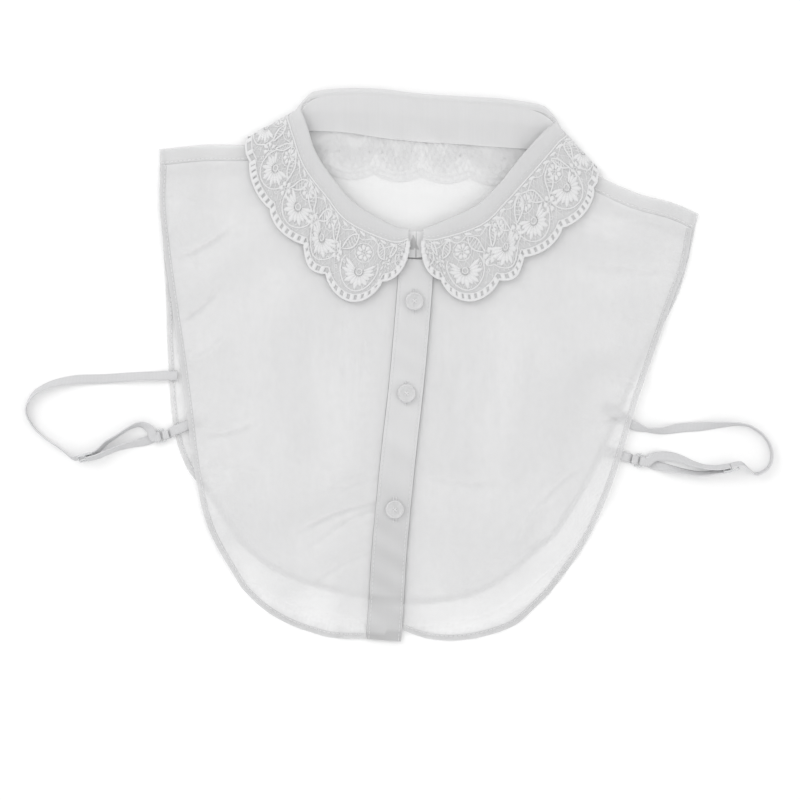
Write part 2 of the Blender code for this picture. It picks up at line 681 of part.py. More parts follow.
class Scallop:
    """One scallop of the lace, between two valleys of the leaf's edge."""

    def __init__(self, first, last, depth, steps):
        rows = {row["name"]: row for row in neck_rows()}
        names = list(rows)
        self.start, self.end = names.index(first), names.index(last)
        self.depth = depth
        self.steps = steps
        a, b = rows[first], rows[last]
        chord = Vector((b["edge_x"] - a["edge_x"], b["edge_y"] - a["edge_y"], 0)).normalized()
        self.wraps = {a["kind"], b["kind"]} == {"front", "back"}
        side = -1 if a["kind"] == "back" else 1
        self.outward = Vector((-chord.y, chord.x, 0)) * side

    def bulge(self, share, run):
        """How far the lace reaches past its valleys, some share of the way across."""
        level = Vector((run.x, run.y, 0)).normalized()
        direction = level if self.wraps else self.outward
        return direction * self.depth * self.round(share)

    @staticmethod
    def round(share):
        return math.sin(math.pi * share) ** 0.8 if 0 < share < 1 else 0.0


def half_places(side):
    """Places along the stations for one half, each with its scallop and the share across it."""
    found = []
    for numbers in SCALLOPS:
        scallop = Scallop(*numbers)
        for k in range(scallop.steps):
            share = k / scallop.steps
            found.append((between(scallop.start, scallop.end, share), scallop, share))
    found.append((float(scallop.end), scallop, 0.0))
    if side == "left":
        return [(min(p, CENTRE_BACK - HALF_GAP), s, w) for p, s, w in found if p <= CENTRE_BACK]
    return [(max(p, CENTRE_BACK + HALF_GAP), s, w) for p, s, w in found if p >= CENTRE_BACK]


def collar_stand(side):
    """Half of the band that stands round the neck."""
    rows = neck_rows()
    seams = [flat(r["seam_x"], r["seam_y"], r["seam_z"]) for r in rows]
    tops = []
    for row, seam in zip(rows, seams):
        top = flat(row["top_x"], row["top_y"], row["top_z"])
        tops.append(top + (seam - top).normalized() * STAND_CUT.get(row["name"], 0.0))
    arches = [Vector((0, 0, STAND_ARCH[r["kind"]])) for r in rows]
    places = [place for place, _, _ in half_places(side)]
    places = [0.0] + places if side == "left" else places + [len(rows) - 1.0]
    grid = [[], [], []]
    for place in places:
        top, seam = through(tops, place), through(seams, place)
        middle = (top + seam) / 2 + through(arches, place)
        for line, point in zip(grid, (seam, middle, top)):
            line.append(point)
    thick_sheet("collar_stand_" + side, grid, STAND_CLOTH, "collar_fabric")


def collar_leaf(side):
    """Half of the leaf: plain cloth at the fold, then the lace with its scallops."""
    controls = [collar_controls(row) for row in neck_rows()]
    lanes = [list(lane) for lane in zip(*controls)]
    cloth = [[] for _ in range(len(lanes) - 1)]
    lace = [[] for _ in range(LACE_ROWS + 1)]
    bulges = []
    for place, scallop, share in half_places(side):
        section = [through(lane, place) for lane in lanes]
        for line, point in zip(cloth, section):
            line.append(point)
        inner, edge = section[-2], section[-1]
        run = edge - inner
        start = inner + run.normalized() * (WRAP_GAP if scallop.wraps else SEAM_GAP)
        tip = edge + scallop.bulge(share, run)
        for k, line in enumerate(lace):
            line.append(between(start, tip, k / LACE_ROWS))
        bulges.append(scallop.round(share))
    thick_sheet("collar_cloth_" + side, cloth, LEAF_CLOTH, "collar_fabric")

    def relief(row, column):
        if row == LACE_ROWS:
            return LACE_RELIEF
        if row in (2, 3):
            return LACE_RELIEF * bulges[column]
        return 0.0

    thick_sheet("collar_lace_" + side, lace, LEAF_CLOTH, "lace", relief)


def ribbon(name, points, across):
    """A flat band along the points, with its width along the given directions."""
    bm = bmesh.new()
    rings = []
    last = len(points) - 1
    for i, point in enumerate(points):
        ahead = (points[min(i + 1, last)] - points[max(i - 1, 0)]).normalized()
        side = (across[i] - ahead * across[i].dot(ahead)).normalized() * STRAP_WIDTH / 2
        face = ahead.cross(side).normalized() * STRAP_CLOTH / 2
        corners = [point + c for c in (side + face, face - side, -side - face, side - face)]
        rings.append([bm.verts.new((c.x, c.y, max(0.0, c.z))) for c in corners])
    for a, b in zip(rings, rings[1:]):
        for k in range(4):
            bm.faces.new((a[k], a[(k + 1) % 4], b[(k + 1) % 4], b[k]))
    bm.faces.new(rings[0])
    bm.faces.new(rings[-1])
    bmesh.ops.triangulate(bm, faces=bm.faces)
    add_object(name, bm, "elastic")


def table_path(table):
    """Centre points and width directions of a strap's table."""
    places = [flat(x, y) for x, y, _, _ in table]
    points, across = [], []
    for i, (x, y, roll, lift) in enumerate(table):
        ahead = (places[min(i + 1, len(places) - 1)] - places[max(i - 1, 0)]).normalized()
        side = Vector((-ahead.y, ahead.x, 0))
        tilt = math.radians(roll)
        rest = abs(math.sin(tilt)) * STRAP_WIDTH / 2 + math.cos(tilt) * STRAP_CLOTH / 2
        points.append(flat(x, y, rest + lift))
        across.append(side * math.cos(tilt) + Vector((0, 0, math.sin(tilt))))
    return points, across


def smooth_band(points, across, step=6.0):
    """Evens out a band's points, keeping each width direction on the side of the last one."""
    aligned = [across[0]]
    for direction in across[1:]:
        aligned.append(direction if direction.dot(aligned[-1]) >= 0 else -direction)
    centre, width = [], []
    for i in range(len(points) - 1):
        count = max(1, round((points[i + 1] - points[i]).length / step))
        for k in range(count):
            centre.append(through(points, i + k / count))
            width.append(between(aligned[i], aligned[i + 1], k / count))
    return centre + [points[-1]], width + [aligned[-1]]


class Fitting:
    """Place and directions of a ring or slider: along the strap, across it and off its face."""

    def __init__(self, x, y, heading, roll=0.0, height=0.0):
        turn = math.radians(heading)
        tilt = math.radians(roll)
        self.along = Vector((math.cos(turn), math.sin(turn), 0))
        side = Vector((-self.along.y, self.along.x, 0))
        self.across = side * math.cos(tilt) + Vector((0, 0, math.sin(tilt)))
        self.face = self.along.cross(self.across)
        self.centre = flat(x, y, height)

    def at(self, along, across, face):
        return self.centre + self.along * along + self.across * across + self.face * face

    def matrix(self):
        turned = Matrix((self.along, self.across, self.face)).transposed().to_4x4()
        return Matrix.Translation(self.centre * METRES) @ turned


def slider_fitting(numbers):
    x, y, heading, roll = numbers
    tilt = math.radians(roll)
    height = math.sin(tilt) * SLIDER_ACROSS / 2 + math.cos(tilt) * (SLIDER_THICK / 2 + 1.4)
    return Fitting(x, y, heading, roll, height)


def ring_fitting(numbers):
    x, y, heading = numbers
    return Fitting(x, y, heading, 0.0, STRAP_CLOTH + SEAM_GAP + WIRE / 2)


def ring(name, fitting):
    """A rounded rectangle of round plastic wire."""
    half_along, half_across = (RING_ALONG - WIRE) / 2, (RING_ACROSS - WIRE) / 2
    path = []
    for sx, sy in ((1, 1), (-1, 1), (-1, -1), (1, -1)):
        centre = Vector((sx * (half_along - CORNER_RADIUS), sy * (half_across - CORNER_RADIUS)))
        start = math.degrees(math.atan2(sy, sx)) - 45
        for k in range(4):
            angle = math.radians(start + 30 * k)
            path.append(centre + Vector((math.cos(angle), math.sin(angle))) * CORNER_RADIUS)
    bm = bmesh.new()
    loops = []
    for i, point in enumerate(path):
        ahead = (path[(i + 1) % len(path)] - path[i - 1]).normalized()
        out = Vector((ahead.y, -ahead.x, 0))
        loops.append([])
        for k in range(8):
            angle = math.tau * k / 8
            offset = out * math.cos(angle) + Vector((0, 0, math.sin(angle)))
            loops[-1].append(bm.verts.new(Vector((point.x, point.y, 0)) + offset * WIRE / 2))
    for a, b in zip(loops, loops[1:] + loops[:1]):
        for k in range(8):
            bm.faces.new((a[k], a[(k + 1) % 8], b[(k + 1) % 8], b[k]))
    thing = add_object(name, bm, "clear_plastic")
    thing.matrix_world = fitting.matrix()


def slider(name, fitting):
    """A plastic plate with two slots and a bar between them."""
    bm = bmesh.new()
    bmesh.ops.create_cube(bm, size=1.0)
    size = (SLIDER_ALONG, SLIDER_ACROSS, SLIDER_THICK)
    bmesh.ops.scale(bm, vec=size, verts=bm.verts)
    upright = [e for e in bm.edges if abs(e.verts[0].co.z - e.verts[1].co.z) > 0.1]
    bmesh.ops.bevel(bm, geom=upright, offset=CORNER_RADIUS, segments=3, affect="EDGES")
    plate = add_object(name, bm, "clear_plastic")
    plate.matrix_world = fitting.matrix()
    for sign in (-1, 1):
        cutter = bmesh.new()
        bmesh.ops.create_cube(cutter, size=1.0)
        bmesh.ops.scale(cutter, vec=(SLIDER_SLOT, SLOT_ACROSS, 4.0), verts=cutter.verts)
        shift = Vector((sign * (SLIDER_BAR + SLIDER_SLOT) / 2, 0, 0))
        bmesh.ops.translate(cutter, vec=shift, verts=cutter.verts)
        slot = add_object(f"{name}_slot_{'left' if sign < 0 else 'right'}", cutter,
                          "clear_plastic")
        slot.parent = plate
        slot.hide_render = True
        slot.display_type = "WIRE"
        cut = plate.modifiers.new("slot", "BOOLEAN")
        cut.operation = "DIFFERENCE"
        cut.solver = "EXACT"
        cut.object = slot


def turn_round_bar(fitting, bar_along, reach):
    """Band points over a ring's bar, through the slot and back under it."""
    radius = WIRE / 2 + SEAM_GAP + STRAP_CLOTH / 2
    away = 1 if reach > 0 else -1
    points = [fitting.at(bar_along + reach, 0, radius)]
    for degrees in (90, 54, 18, -18, -54, -90):
        angle = math.radians(degrees)
        points.append(fitting.at(bar_along - away * math.cos(angle) * radius, 0,
                                 math.sin(angle) * radius))
    points.append(fitting.at(bar_along + reach, 0, -radius))
    return points, [fitting.across] * len(points)


def long_strap(name, table, fitting, rise_off):
    """The strap from the panel to the slider, which it ends on."""
    points, across = table_path(table)
    points += [fitting.at(-SLIDER_LEAVE, 0, rise_off), fitting.at(-SLIDER_MIDDLE, 0, rise_off)]
    across += [fitting.across] * 2
    ribbon(name, *smooth_band(points, across))


def doubled_strap(name, out_table, back_table, slide, loop, rise_off):
    """The elastic from the slider to the ring, round its bar and back."""
    out_points, out_across = table_path(out_table)
    back_points, back_across = table_path(back_table)
    bar = (RING_ALONG - WIRE) / 2
    turn_points, turn_across = turn_round_bar(loop, bar, 3.0)
    start = [slide.at(SLIDER_MIDDLE, 0, rise_off), slide.at(SLIDER_RETURN, 0, rise_off)]
    end = [slide.at(SLIDER_RETURN, 0, -rise_off), slide.at(2 * SLIDER_MIDDLE, 0, -rise_off)]
    points = start + out_points + turn_points + back_points + end
    across = [slide.across] * 2 + out_across + turn_across + back_across + [slide.across] * 2
    ribbon(name, *smooth_band(points, across))


def tab(name, loop, end):
    """The short band sewn to the panel that holds the ring."""
    bar = -(RING_ALONG - WIRE) / 2
    turn_points, turn_across = turn_round_bar(loop, bar, -TAB_REACH)
    height = LAYER + STRAP_CLOTH / 2
    inner = flat(*end, height)
    run = (inner - loop.centre).normalized()
    side = Vector((-run.y, run.x, 0))
    edge_on = loop.centre + Vector((run.x, run.y, 0)) * (TAB_REACH + 4.8)
    points = turn_points + [flat(edge_on.x, edge_on.y, height), inner]
    across = turn_across + [side, side]
    ribbon(name, *smooth_band(points, across, step=9.0))


def harness(side):
    """The straps, ring and slider of one side."""
    left = side == "left"
    slide = slider_fitting(LEFT_SLIDER if left else RIGHT_SLIDER)
    loop = ring_fitting(LEFT_RING if left else RIGHT_RING)
    rise_off = (SLIDER_THICK / 2 + SEAM_GAP + STRAP_CLOTH / 2) * (-1 if left else 1)
    slider("slider_" + side, slide)
    ring("ring_" + side, loop)
    long_strap("strap_" + side, LEFT_STRAP if left else RIGHT_STRAP, slide, rise_off)
    tables = (LEFT_UPPER[::-1], LEFT_LOWER[::-1]) if left else (RIGHT_UPPER[::-1], RIGHT_LOWER[::-1])
    doubled_strap("strap_loop_" + side, *tables, slide, loop, rise_off)
    tab("tab_" + side, loop, LEFT_TAB_END if left else RIGHT_TAB_END)


def main():
    clear_scene()
    rest = FrontRest()
    back_panel()
    front_panel_left(rest)
    front_panel_right(rest)
    closing_strips(rest)
    for name, x, y in BUTTONS:
        button(name, x, y, rest)
    for side in ("left", "right"):
        collar_stand(side)
        collar_leaf(side)
        harness(side)


main()
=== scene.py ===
import math
from functools import cache

import bmesh
import bpy
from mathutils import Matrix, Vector
from mathutils.kdtree import KDTree


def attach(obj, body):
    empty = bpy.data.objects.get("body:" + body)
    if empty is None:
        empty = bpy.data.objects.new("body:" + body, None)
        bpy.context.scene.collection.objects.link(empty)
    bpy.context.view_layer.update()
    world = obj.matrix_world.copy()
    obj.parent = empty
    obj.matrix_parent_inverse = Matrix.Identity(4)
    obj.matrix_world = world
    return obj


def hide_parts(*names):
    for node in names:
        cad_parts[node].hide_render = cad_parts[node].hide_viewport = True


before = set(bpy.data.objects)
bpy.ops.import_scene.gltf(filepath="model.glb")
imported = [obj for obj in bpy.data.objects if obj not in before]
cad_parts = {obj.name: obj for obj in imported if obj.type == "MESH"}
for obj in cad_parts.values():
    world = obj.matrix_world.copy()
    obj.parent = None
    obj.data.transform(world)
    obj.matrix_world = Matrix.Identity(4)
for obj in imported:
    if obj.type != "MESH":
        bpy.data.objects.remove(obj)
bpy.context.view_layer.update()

bl_info = {
    "name": "False Collar",
    "version": (1, 0, 0),
    "blender": (4, 5, 0),
    "location": "3D View > Sidebar > False Collar",
    "description": "Makes a sheer false collar with lace, elastic straps and buttons, laid flat",
    "category": "Object",
}

METRES = 0.001

# Driving dimensions, in millimetres
SEAM_GAP = 0.3
CLOTH = 1.0
PANEL_GAP = 0.4
HEM_WIDTH = 4.0
HEM_CLOTH = 1.4
LAYER = HEM_CLOTH + SEAM_GAP
PLACKET_WIDTH = 22.4
PLACKET_CLOTH = 1.2
PLACKET_RISE = 0.9
PLACKET_SLOPE = 20.0
STAND_ARCH = {"front": 0.4, "end": 0.0, "crease": 0.1, "back": -0.3}
LEAF_CLOTH = 1.0
LEAF_SPACE = LEAF_CLOTH + SEAM_GAP
PLAIN_SHARE = {"front": 0.19, "end": 0.42, "crease": 0.25, "back": 0.19}
LEAF_START = 0.5
STRAP_WIDTH = 6.0
STRAP_CLOTH = 1.0
BUTTON_HOLE_PLACE = 1.55
WIRE = 1.1
RING_ALONG = 5.6
RING_ACROSS = 9.2
SLIDER_ALONG = 10.6
SLIDER_ACROSS = 9.0
SLIDER_THICK = 1.3
SLIDER_REST = 1.4
SLOT_ACROSS = 7.0
SLIDER_BAR = 1.4
SLIDER_LEAVE = 7.5
SLIDER_RETURN = 6.8
SLIDER_MIDDLE = 0.2
CORNER_RADIUS = 1.3

# Outer edges of the panels, from the hem corner up to the shoulder (x, y)
BACK_LEFT_EDGE = [(-106, -113.5), (-124.5, -84), (-138, -66), (-146.6, -38), (-150, 8.5),
                  (-151, 40), (-153, 79), (-155, 108), (-155.2, 139.3)]
BACK_RIGHT_EDGE = [(102, -112), (121, -82), (136, -52), (149, -22), (162, 8), (173, 28),
                   (182.6, 48), (189.6, 74), (194.6, 97.4)]
BACK_HEM = [(-106, -113.5), (-83, -133), (-49, -146), (-5, -154.5), (28, -154.5), (62, -144),
            (102, -112)]
LEFT_EDGE = [(-102, -145), (-123, -107), (-132, -70), (-138, -23), (-143, 12), (-149, 52),
             (-152.5, 79), (-155.3, 105), (-155.6, 130)]
RIGHT_EDGE = [(99, -147.6), (121, -117), (135.5, -85), (146, -54), (155, -23), (166, 8.5),
              (177, 40), (186, 64), (192.4, 88)]
LEFT_HEM = [(-102, -145), (-88.5, -158), (-72.5, -167.8), (-55, -174.3), (-40.6, -177.6),
            (-21, -178.6)]
RIGHT_HEM = [(3.5, -172.5), (17, -177.3), (33.5, -179.2), (53, -177), (73, -170.5),
             (83, -163.2), (99, -147.6)]

# Folded shoulder edges, from the tip to the neck (x, y), and how far in front the seam lies
LEFT_SHOULDER = [(-155.2, 139.3), (-126, 142), (-97, 142.2), (-71.2, 146.6)]
RIGHT_SHOULDER = [(194.6, 97.4), (178, 104.5), (155, 110.5), (134, 119.5), (106.6, 133.4)]
SHOULDER_TURN = 9.5
LEFT_SEAM_END = (-72.6, 137.4)
RIGHT_SEAM_END = (103.6, 125.8)
NECK_CENTRE = (15.0, 130.0)
NECK_OVERLAP = 1.5

# Left edge of the placket, from the hem up to the neck (x, y)
PLACKET_EDGE = [(-20.8, -177.8), (-19, -153), (-16.8, -116), (-11.2, -58), (-5.5, -6.5),
                (-1, 45), (0.4, 69)]
BUTTONS = [("top", 10.4, 41.2), ("middle", 5.2, -18.5), ("bottom", -2.4, -93.6)]

# Stations round the neck, clockwise from the front. top is the stand's upper edge, seam its
# lower one and edge the valley of the leaf between two scallops.
NECK_COLUMNS = ("name", "kind", "top_x", "top_y", "top_z", "seam_x", "seam_y", "seam_z",
                "edge_x", "edge_y", "edge_z")
NECK = [
    ("left front", "end", 11.2, 85.6, 6.9, 11.0, 69.4, 5.5, 8.0, 79.0, 8.2),
    ("left end", "end", 6.5, 85.7, 6.9, 6.4, 69.6, 5.5, 6.3, 76.8, 8.2),
    ("left 1", "front", -3.6, 87.0, 6.9, -8.0, 70.0, 5.2, -11.0, 54.0, 5.4),
    ("left 2", "front", -28.3, 101.0, 6.9, -36.0, 85.0, 4.6, -47.0, 59.0, 4.5),
    ("left 3", "front", -43.3, 117.7, 6.9, -51.0, 102.0, 4.9, -61.0, 78.0, 4.6),
    ("left 4", "front", -55.0, 135.2, 7.0, -66.0, 121.0, 5.0, -83.0, 101.0, 5.0),
    ("left 5", "front", -60.7, 152.4, 7.2, -72.5, 138.0, 5.0, -96.0, 131.0, 5.2),
    ("left over", "front", -62.9, 159.0, 7.1, -70.6, 145.0, 5.3, -97.8, 139.5, 5.5),
    ("left crease", "crease", -62.4, 165.7, 6.0, -67.4, 151.8, 4.1, -96.8, 148.2, 2.9),
    ("left under", "back", -58.3, 170.7, 5.0, -61.5, 152.4, 3.2, -91.5, 143.2, 0.5),
    ("left back 1", "back", -50.0, 173.0, 5.6, -53.0, 152.6, 3.2, -80.0, 131.0, 0.5),
    ("left back 2", "back", -33.0, 174.0, 6.5, -33.0, 151.5, 3.2, -47.0, 126.0, 0.5),
    ("left back 3", "back", -11.0, 173.5, 6.7, -10.0, 148.0, 3.2, -16.0, 124.5, 0.5),
    ("centre back", "back", 14.0, 170.5, 6.7, 15.0, 145.5, 3.2, 15.0, 123.0, 0.5),
    ("right back 3", "back", 40.0, 168.8, 6.7, 40.0, 144.0, 3.2, 46.0, 122.0, 0.5),
    ("right back 2", "back", 64.0, 167.5, 6.5, 62.0, 142.3, 3.2, 78.0, 120.0, 0.5),
    ("right back 1", "back", 84.0, 165.0, 5.6, 80.0, 141.2, 3.2, 108.0, 116.5, 0.5),
    ("right under", "back", 95.6, 161.8, 5.0, 95.0, 140.2, 3.2, 124.5, 126.0, 0.5),
    ("right crease", "crease", 101.2, 156.5, 6.0, 103.8, 138.8, 4.1, 128.3, 128.4, 2.7),
    ("right over", "front", 97.9, 150.8, 7.1, 105.2, 132.0, 5.3, 127.8, 121.0, 5.2),
    ("right 5", "front", 93.0, 146.0, 7.2, 103.5, 126.5, 5.0, 126.0, 114.5, 5.2),
    ("right 4", "front", 81.5, 133.3, 7.0, 90.5, 116.5, 5.0, 106.0, 89.0, 4.8),
    ("right 3", "front", 65.0, 113.0, 6.9, 72.0, 97.0, 4.8, 81.0, 70.0, 4.5),
    ("right 2", "front", 50.0, 99.5, 6.9, 56.0, 83.5, 4.6, 65.0, 55.0, 4.5),
    ("right 1", "front", 25.3, 88.4, 6.9, 27.5, 71.5, 5.2, 28.0, 55.0, 5.7),
    ("right end", "end", 16.2, 86.0, 6.9, 16.0, 69.8, 5.5, 15.6, 77.0, 8.2),
    ("right front", "end", 11.8, 85.6, 6.9, 11.6, 69.4, 5.5, 15.0, 80.0, 8.2),
]
CENTRE_BACK = [row[0] for row in NECK].index("centre back")

# Scallops of the lace: first and last station, and depth
SCALLOPS = [
    ("left end", "left 1", 3.5), ("left 1", "left 2", 13.0), ("left 2", "left 3", 4.5),
    ("left 3", "left 4", 4.5), ("left 4", "left 5", 3.2), ("left 5", "left back 1", 1.5),
    ("left back 1", "left back 2", 4.5), ("left back 2", "left back 3", 4.5),
    ("left back 3", "centre back", 4.5), ("centre back", "right back 3", 4.5),
    ("right back 3", "right back 2", 4.5), ("right back 2", "right back 1", 4.5),
    ("right back 1", "right 5", 1.5), ("right 5", "right 4", 5.0), ("right 4", "right 3", 4.5),
    ("right 3", "right 2", 4.5), ("right 2", "right 1", 11.5), ("right 1", "right end", 2.5),
]
# How far the stand's top stays below the roll of the leaf at the shoulder creases
STAND_CUT = {"left over": 1.5, "left crease": 3.0, "left under": 1.5,
             "right under": 1.5, "right crease": 3.0, "right over": 1.5}

# Soft ridges of the two fronts: from x, y to x, y, half width and height
RIDGES = [
    ("from the placket", -14, -88, -66, -108, 12, 1.5),
    ("armhole upper", -148, 72, -108, 92, 11, 1.1),
    ("armhole lower", -146, 20, -104, 52, 12, 1.0),
    ("breast left", -44, 30, -52, -60, 13, 0.9),
    ("breast right", 44, 18, 52, -70, 13, 1.1),
    ("shoulder right", 112, 70, 172, 74, 12, 1.2),
    ("waist right", 24, -70, 84, -74, 12, 1.0),
    ("hem left", -62, -142, -100, -112, 12, 1.0),
]
# Where the strap ends lie between the panels: x, y, radius and height
STRAP_BUMPS = [("left tab", -136, -40, 24, 1.9), ("right strap", 143, -33, 24, 1.9),
               ("right tab", 138, -56, 24, 1.9)]

# Elastic straps. Each row: x, y, roll in degrees (0 flat, 90 on edge), height off its rest
LEFT_STRAP = [
    (-143.6, -7, 0, 1.75), (-150, -7, 0, 1.6), (-158, -7.2, 20, 0.6), (-168, -7.4, 26, 0),
    (-191, -9, 4, 0), (-210, -9.6, 20, 0), (-226.5, -13, 48, 0), (-237, -19, 68, 0),
    (-241.3, -26, 80, 0), (-241, -33, 85, 0), (-237, -40, 86, 0), (-229.8, -47, 84, 0),
    (-220, -53.5, 78, 0),
]
RIGHT_STRAP = [
    (134, -27.5, 0, 1.75), (143, -32.5, 0, 1.75), (152.5, -39.3, 8, 1.4), (161, -42, 66, 0.2),
    (171, -42.6, 42, 0), (182, -41, 6, 0), (195, -40, 14, 0), (207, -39, 50, 0),
    (220, -38.3, 74, 0), (229, -40.2, 82, 0), (236, -45, 84, 0), (240.8, -52, 85, 0),
    (242.2, -60, 85, 0), (239.5, -67, 84, 0), (232, -71, 78, 0),
]
LEFT_LOWER = [(-183, -54.4, -62, 0), (-172, -51.2, -46, 0), (-163.5, -49.2, -10, 0)]
LEFT_UPPER = [(-161.5, -41.2, 16, 2.1), (-167.5, -38.6, 55, 0.5), (-174.5, -40.8, 76, 0),
              (-182, -45.6, 80, 0), (-190, -50.8, 72, 0)]
RIGHT_LOWER = [(196, -70.8, -62, 0), (184, -69.0, -54, 0), (175, -67.0, -34, 0),
               (167, -65.3, -6, 0)]
RIGHT_UPPER = [(166, -59.8, 0, 2.3), (174, -59.2, 5, 0.6), (182, -60.6, 32, 0),
               (190, -63.6, 56, 0), (198, -66, 66, 0)]
TAB_REACH = 2.4
LEFT_TAB_END = (-130.5, -36.5)
RIGHT_TAB_END = (131.5, -55.2)
# Hardware: centre x, y, heading in degrees, roll in degrees
LEFT_RING = (-153.6, -46.0, 194.0)
RIGHT_RING = (156.0, -62.0, -11.0)
LEFT_SLIDER = (-202.5, -60.0, 14.0, 62.0)
RIGHT_SLIDER = (215.0, -66.6, 190.0, 64.0)
# How far the elastic runs past the ring's bar, and the tab before it lies flat
LOOP_REACH = 3.0
TAB_RUN = 4.8
# Section of the elastic, as shares of half its width and of half its thickness
RIBBON_OUTLINE = [
    (-1, -0.35), (-0.94, -0.8), (-0.5, -1), (0, -0.88), (0.5, -1), (0.94, -0.8), (1, -0.35),
    (1, 0.35), (0.94, 0.8), (0.5, 1), (0, 0.88), (-0.5, 1), (-0.94, 0.8), (-1, 0.35)]

# Buttons: half of the turned section, as radius and height, and the thread through the holes
BUTTON_PROFILE = [
    (0.0, 1.45), (1.0, 1.5), (2.9, 1.62), (3.7, 1.75), (4.3, 2.05), (4.9, 2.36), (5.4, 2.36),
    (5.78, 2.12), (5.98, 1.6), (5.98, 0.95), (5.6, 0.35), (4.9, 0.05), (2.5, 0.0), (0.0, 0.0)]
BUTTON_SIDES = 64
BUTTON_HOLE = 0.72
BUTTON_THREAD = 0.34
BUTTON_THREAD_SPAN = 1.1
BUTTON_THREAD_LOW = 1.25
BUTTON_THREAD_RISE = 0.75
# Buttonholes: half width, half length, number of stitches a side and their radius
HOLE_HALF = 1.1
HOLE_REACH = 8.4
HOLE_STITCHES = 30
HOLE_THREAD = 0.24

# Shoulders of the back: folded edge, end of the seam at the neck, side and number of steps
SHOULDERS = {"left": (LEFT_SHOULDER, LEFT_SEAM_END, -1, 22),
             "right": (RIGHT_SHOULDER, RIGHT_SEAM_END, 1, 24)}

# Steps of the cloth's rows of points
BACK_COLUMNS = (34, 50, 36)
BACK_ROWS = 110
FRONT_COLUMNS = 92
FRONT_ROWS = 150
STRIP_COLUMNS = 12
STRIP_ROWS = 90
STAND_COLUMNS = 110
STAND_ROWS = 18

# What only the looks need, in millimetres
HEM_LIFT = 0.16
HEM_RIPPLE = 0.22
RIPPLE_LENGTH = 16.0
STITCH = 2.1
STITCH_PITCH = 2.9
THREAD = 0.16
STITCH_LIFT = 0.12
STITCH_INSET = 0.9
SHOULDER_STITCH = 1.3
SEAM_ALLOWANCE = 8.0
STRIP_SWELL = 0.35
STRIP_STITCH_INSET = 1.6
STRIP_STITCH_LIFT = 0.08
LEAF_STITCH_LIFT = 0.2

# The stand's cloth: how far it goes under the roll of the leaf, and past its lower edge at the
# back, between these stations
STAND_TUCK = 0.5
STAND_DROP = 0.9
STAND_DROP_STARTS = (8.0, 9.5)
STAND_DROP_ENDS = (16.5, 18.0)
# A painted shadow in the gap between the stand's front ends: centre x, lowest and highest y,
# half width at the foot, and how much of that is lost for each millimetre up
GAP_X = 9.6
GAP_FOOT = 75.0
GAP_TOP = 83.5
GAP_HALF = 3.4
GAP_TAPER = 0.36

# Creases of the cloth: piece, from x, y to x, y, half width, height (below zero it is a trough)
CREASES = [
    ("left", -12, -87, -64, -106, 2.6, 0.9), ("left", -14, -95, -52, -116, 2.2, -0.5),
    ("left", -13, -72, -44, -84, 2.8, 0.6), ("left", -150, 92, -122, 60, 2.4, 0.7),
    ("left", -147, 70, -112, 88, 2.2, 0.6), ("left", -149, 116, -118, 104, 2.8, 0.5),
    ("left", -146, 28, -118, 50, 2.6, 0.7), ("left", -140, 0, -112, 18, 2.4, -0.4),
    ("left", -134, -44, -96, -38, 2.6, 0.6), ("left", -128, -62, -88, -70, 2.6, -0.4),
    ("left", -60, 44, -56, -6, 4.2, 0.6), ("left", -34, 38, -38, -22, 3.8, 0.6),
    ("left", -84, 40, -78, -14, 4.4, -0.4), ("left", -24, 20, -26, -40, 3.2, 0.5),
    ("left", -98, -60, -62, -132, 4.0, 0.5), ("left", -112, -92, -84, -128, 3.2, -0.5),
    ("left", -16, -118, -58, -142, 3.2, 0.5), ("left", -40, -150, -76, -150, 3.0, 0.4),
    ("right", 96, 98, 166, 88, 4.0, 0.6), ("right", 104, 70, 182, 62, 4.4, 0.7),
    ("right", 118, 84, 176, 78, 3.2, -0.4), ("right", 132, 40, 172, 26, 3.6, 0.5),
    ("right", 126, 4, 160, -14, 2.8, 0.6), ("right", 118, -34, 150, -30, 2.8, 0.6),
    ("right", 30, 30, 36, -30, 4.2, 0.6), ("right", 60, 34, 62, -40, 4.4, 0.6),
    ("right", 84, 24, 80, -48, 4.2, -0.4), ("right", 46, 12, 47, -44, 3.2, 0.5),
    ("right", 16, -68, 58, -76, 2.6, 0.7), ("right", 12, -104, 50, -118, 2.8, 0.5),
    ("right", 60, -128, 92, -110, 3.2, 0.5), ("right", 100, -84, 74, -122, 3.0, -0.5),
    ("right", 116, -66, 92, -92, 3.0, 0.5), ("right", 10, -140, 54, -152, 3.2, 0.4),
    ("back", -120, 84, -70, 60, 5.0, 0.25), ("back", 150, 60, 90, 30, 5.0, 0.25),
    ("back", -60, 0, -54, -70, 6.0, 0.25), ("back", 40, 10, 52, -80, 6.0, 0.25),
    ("back", -90, -60, -40, -110, 4.0, 0.25), ("back", 96, -60, 50, -120, 4.0, 0.25),
    ("back", -132, -52, -96, -30, 3.0, 0.2), ("back", 134, -36, 104, -20, 3.0, 0.2),
]

# Lace, in millimetres: cords, bars and the motifs inside each scallop
EDGE_CORD = 0.85
INNER_CORD = 0.5
BAR_BAND = 3.9
BAR_PITCH = 4.4
BAR = 1.35
FAN_REACH = 16.6
FAN_ARC = 10.6
FAN_PETALS = 13
FLOWER_REACH = 15.5
LEAF_PITCH = 7.0
LATTICE = 3.4
LATTICE_THREAD = 0.2
FULL_SECTION = 34.0

# Finish of the cloth: pitch of its threads in metres, how much closer it looks on a slope, at
# most, as painted shade and light, and over the turned shoulders
WARP_PITCH = 0.00052
WEFT_PITCH = 0.00058
NET_PERIOD = 0.0032
FOLD_SHADE = 2.4
FOLD_LIMIT = 0.6
SHOULDER_CLOSER = 0.5
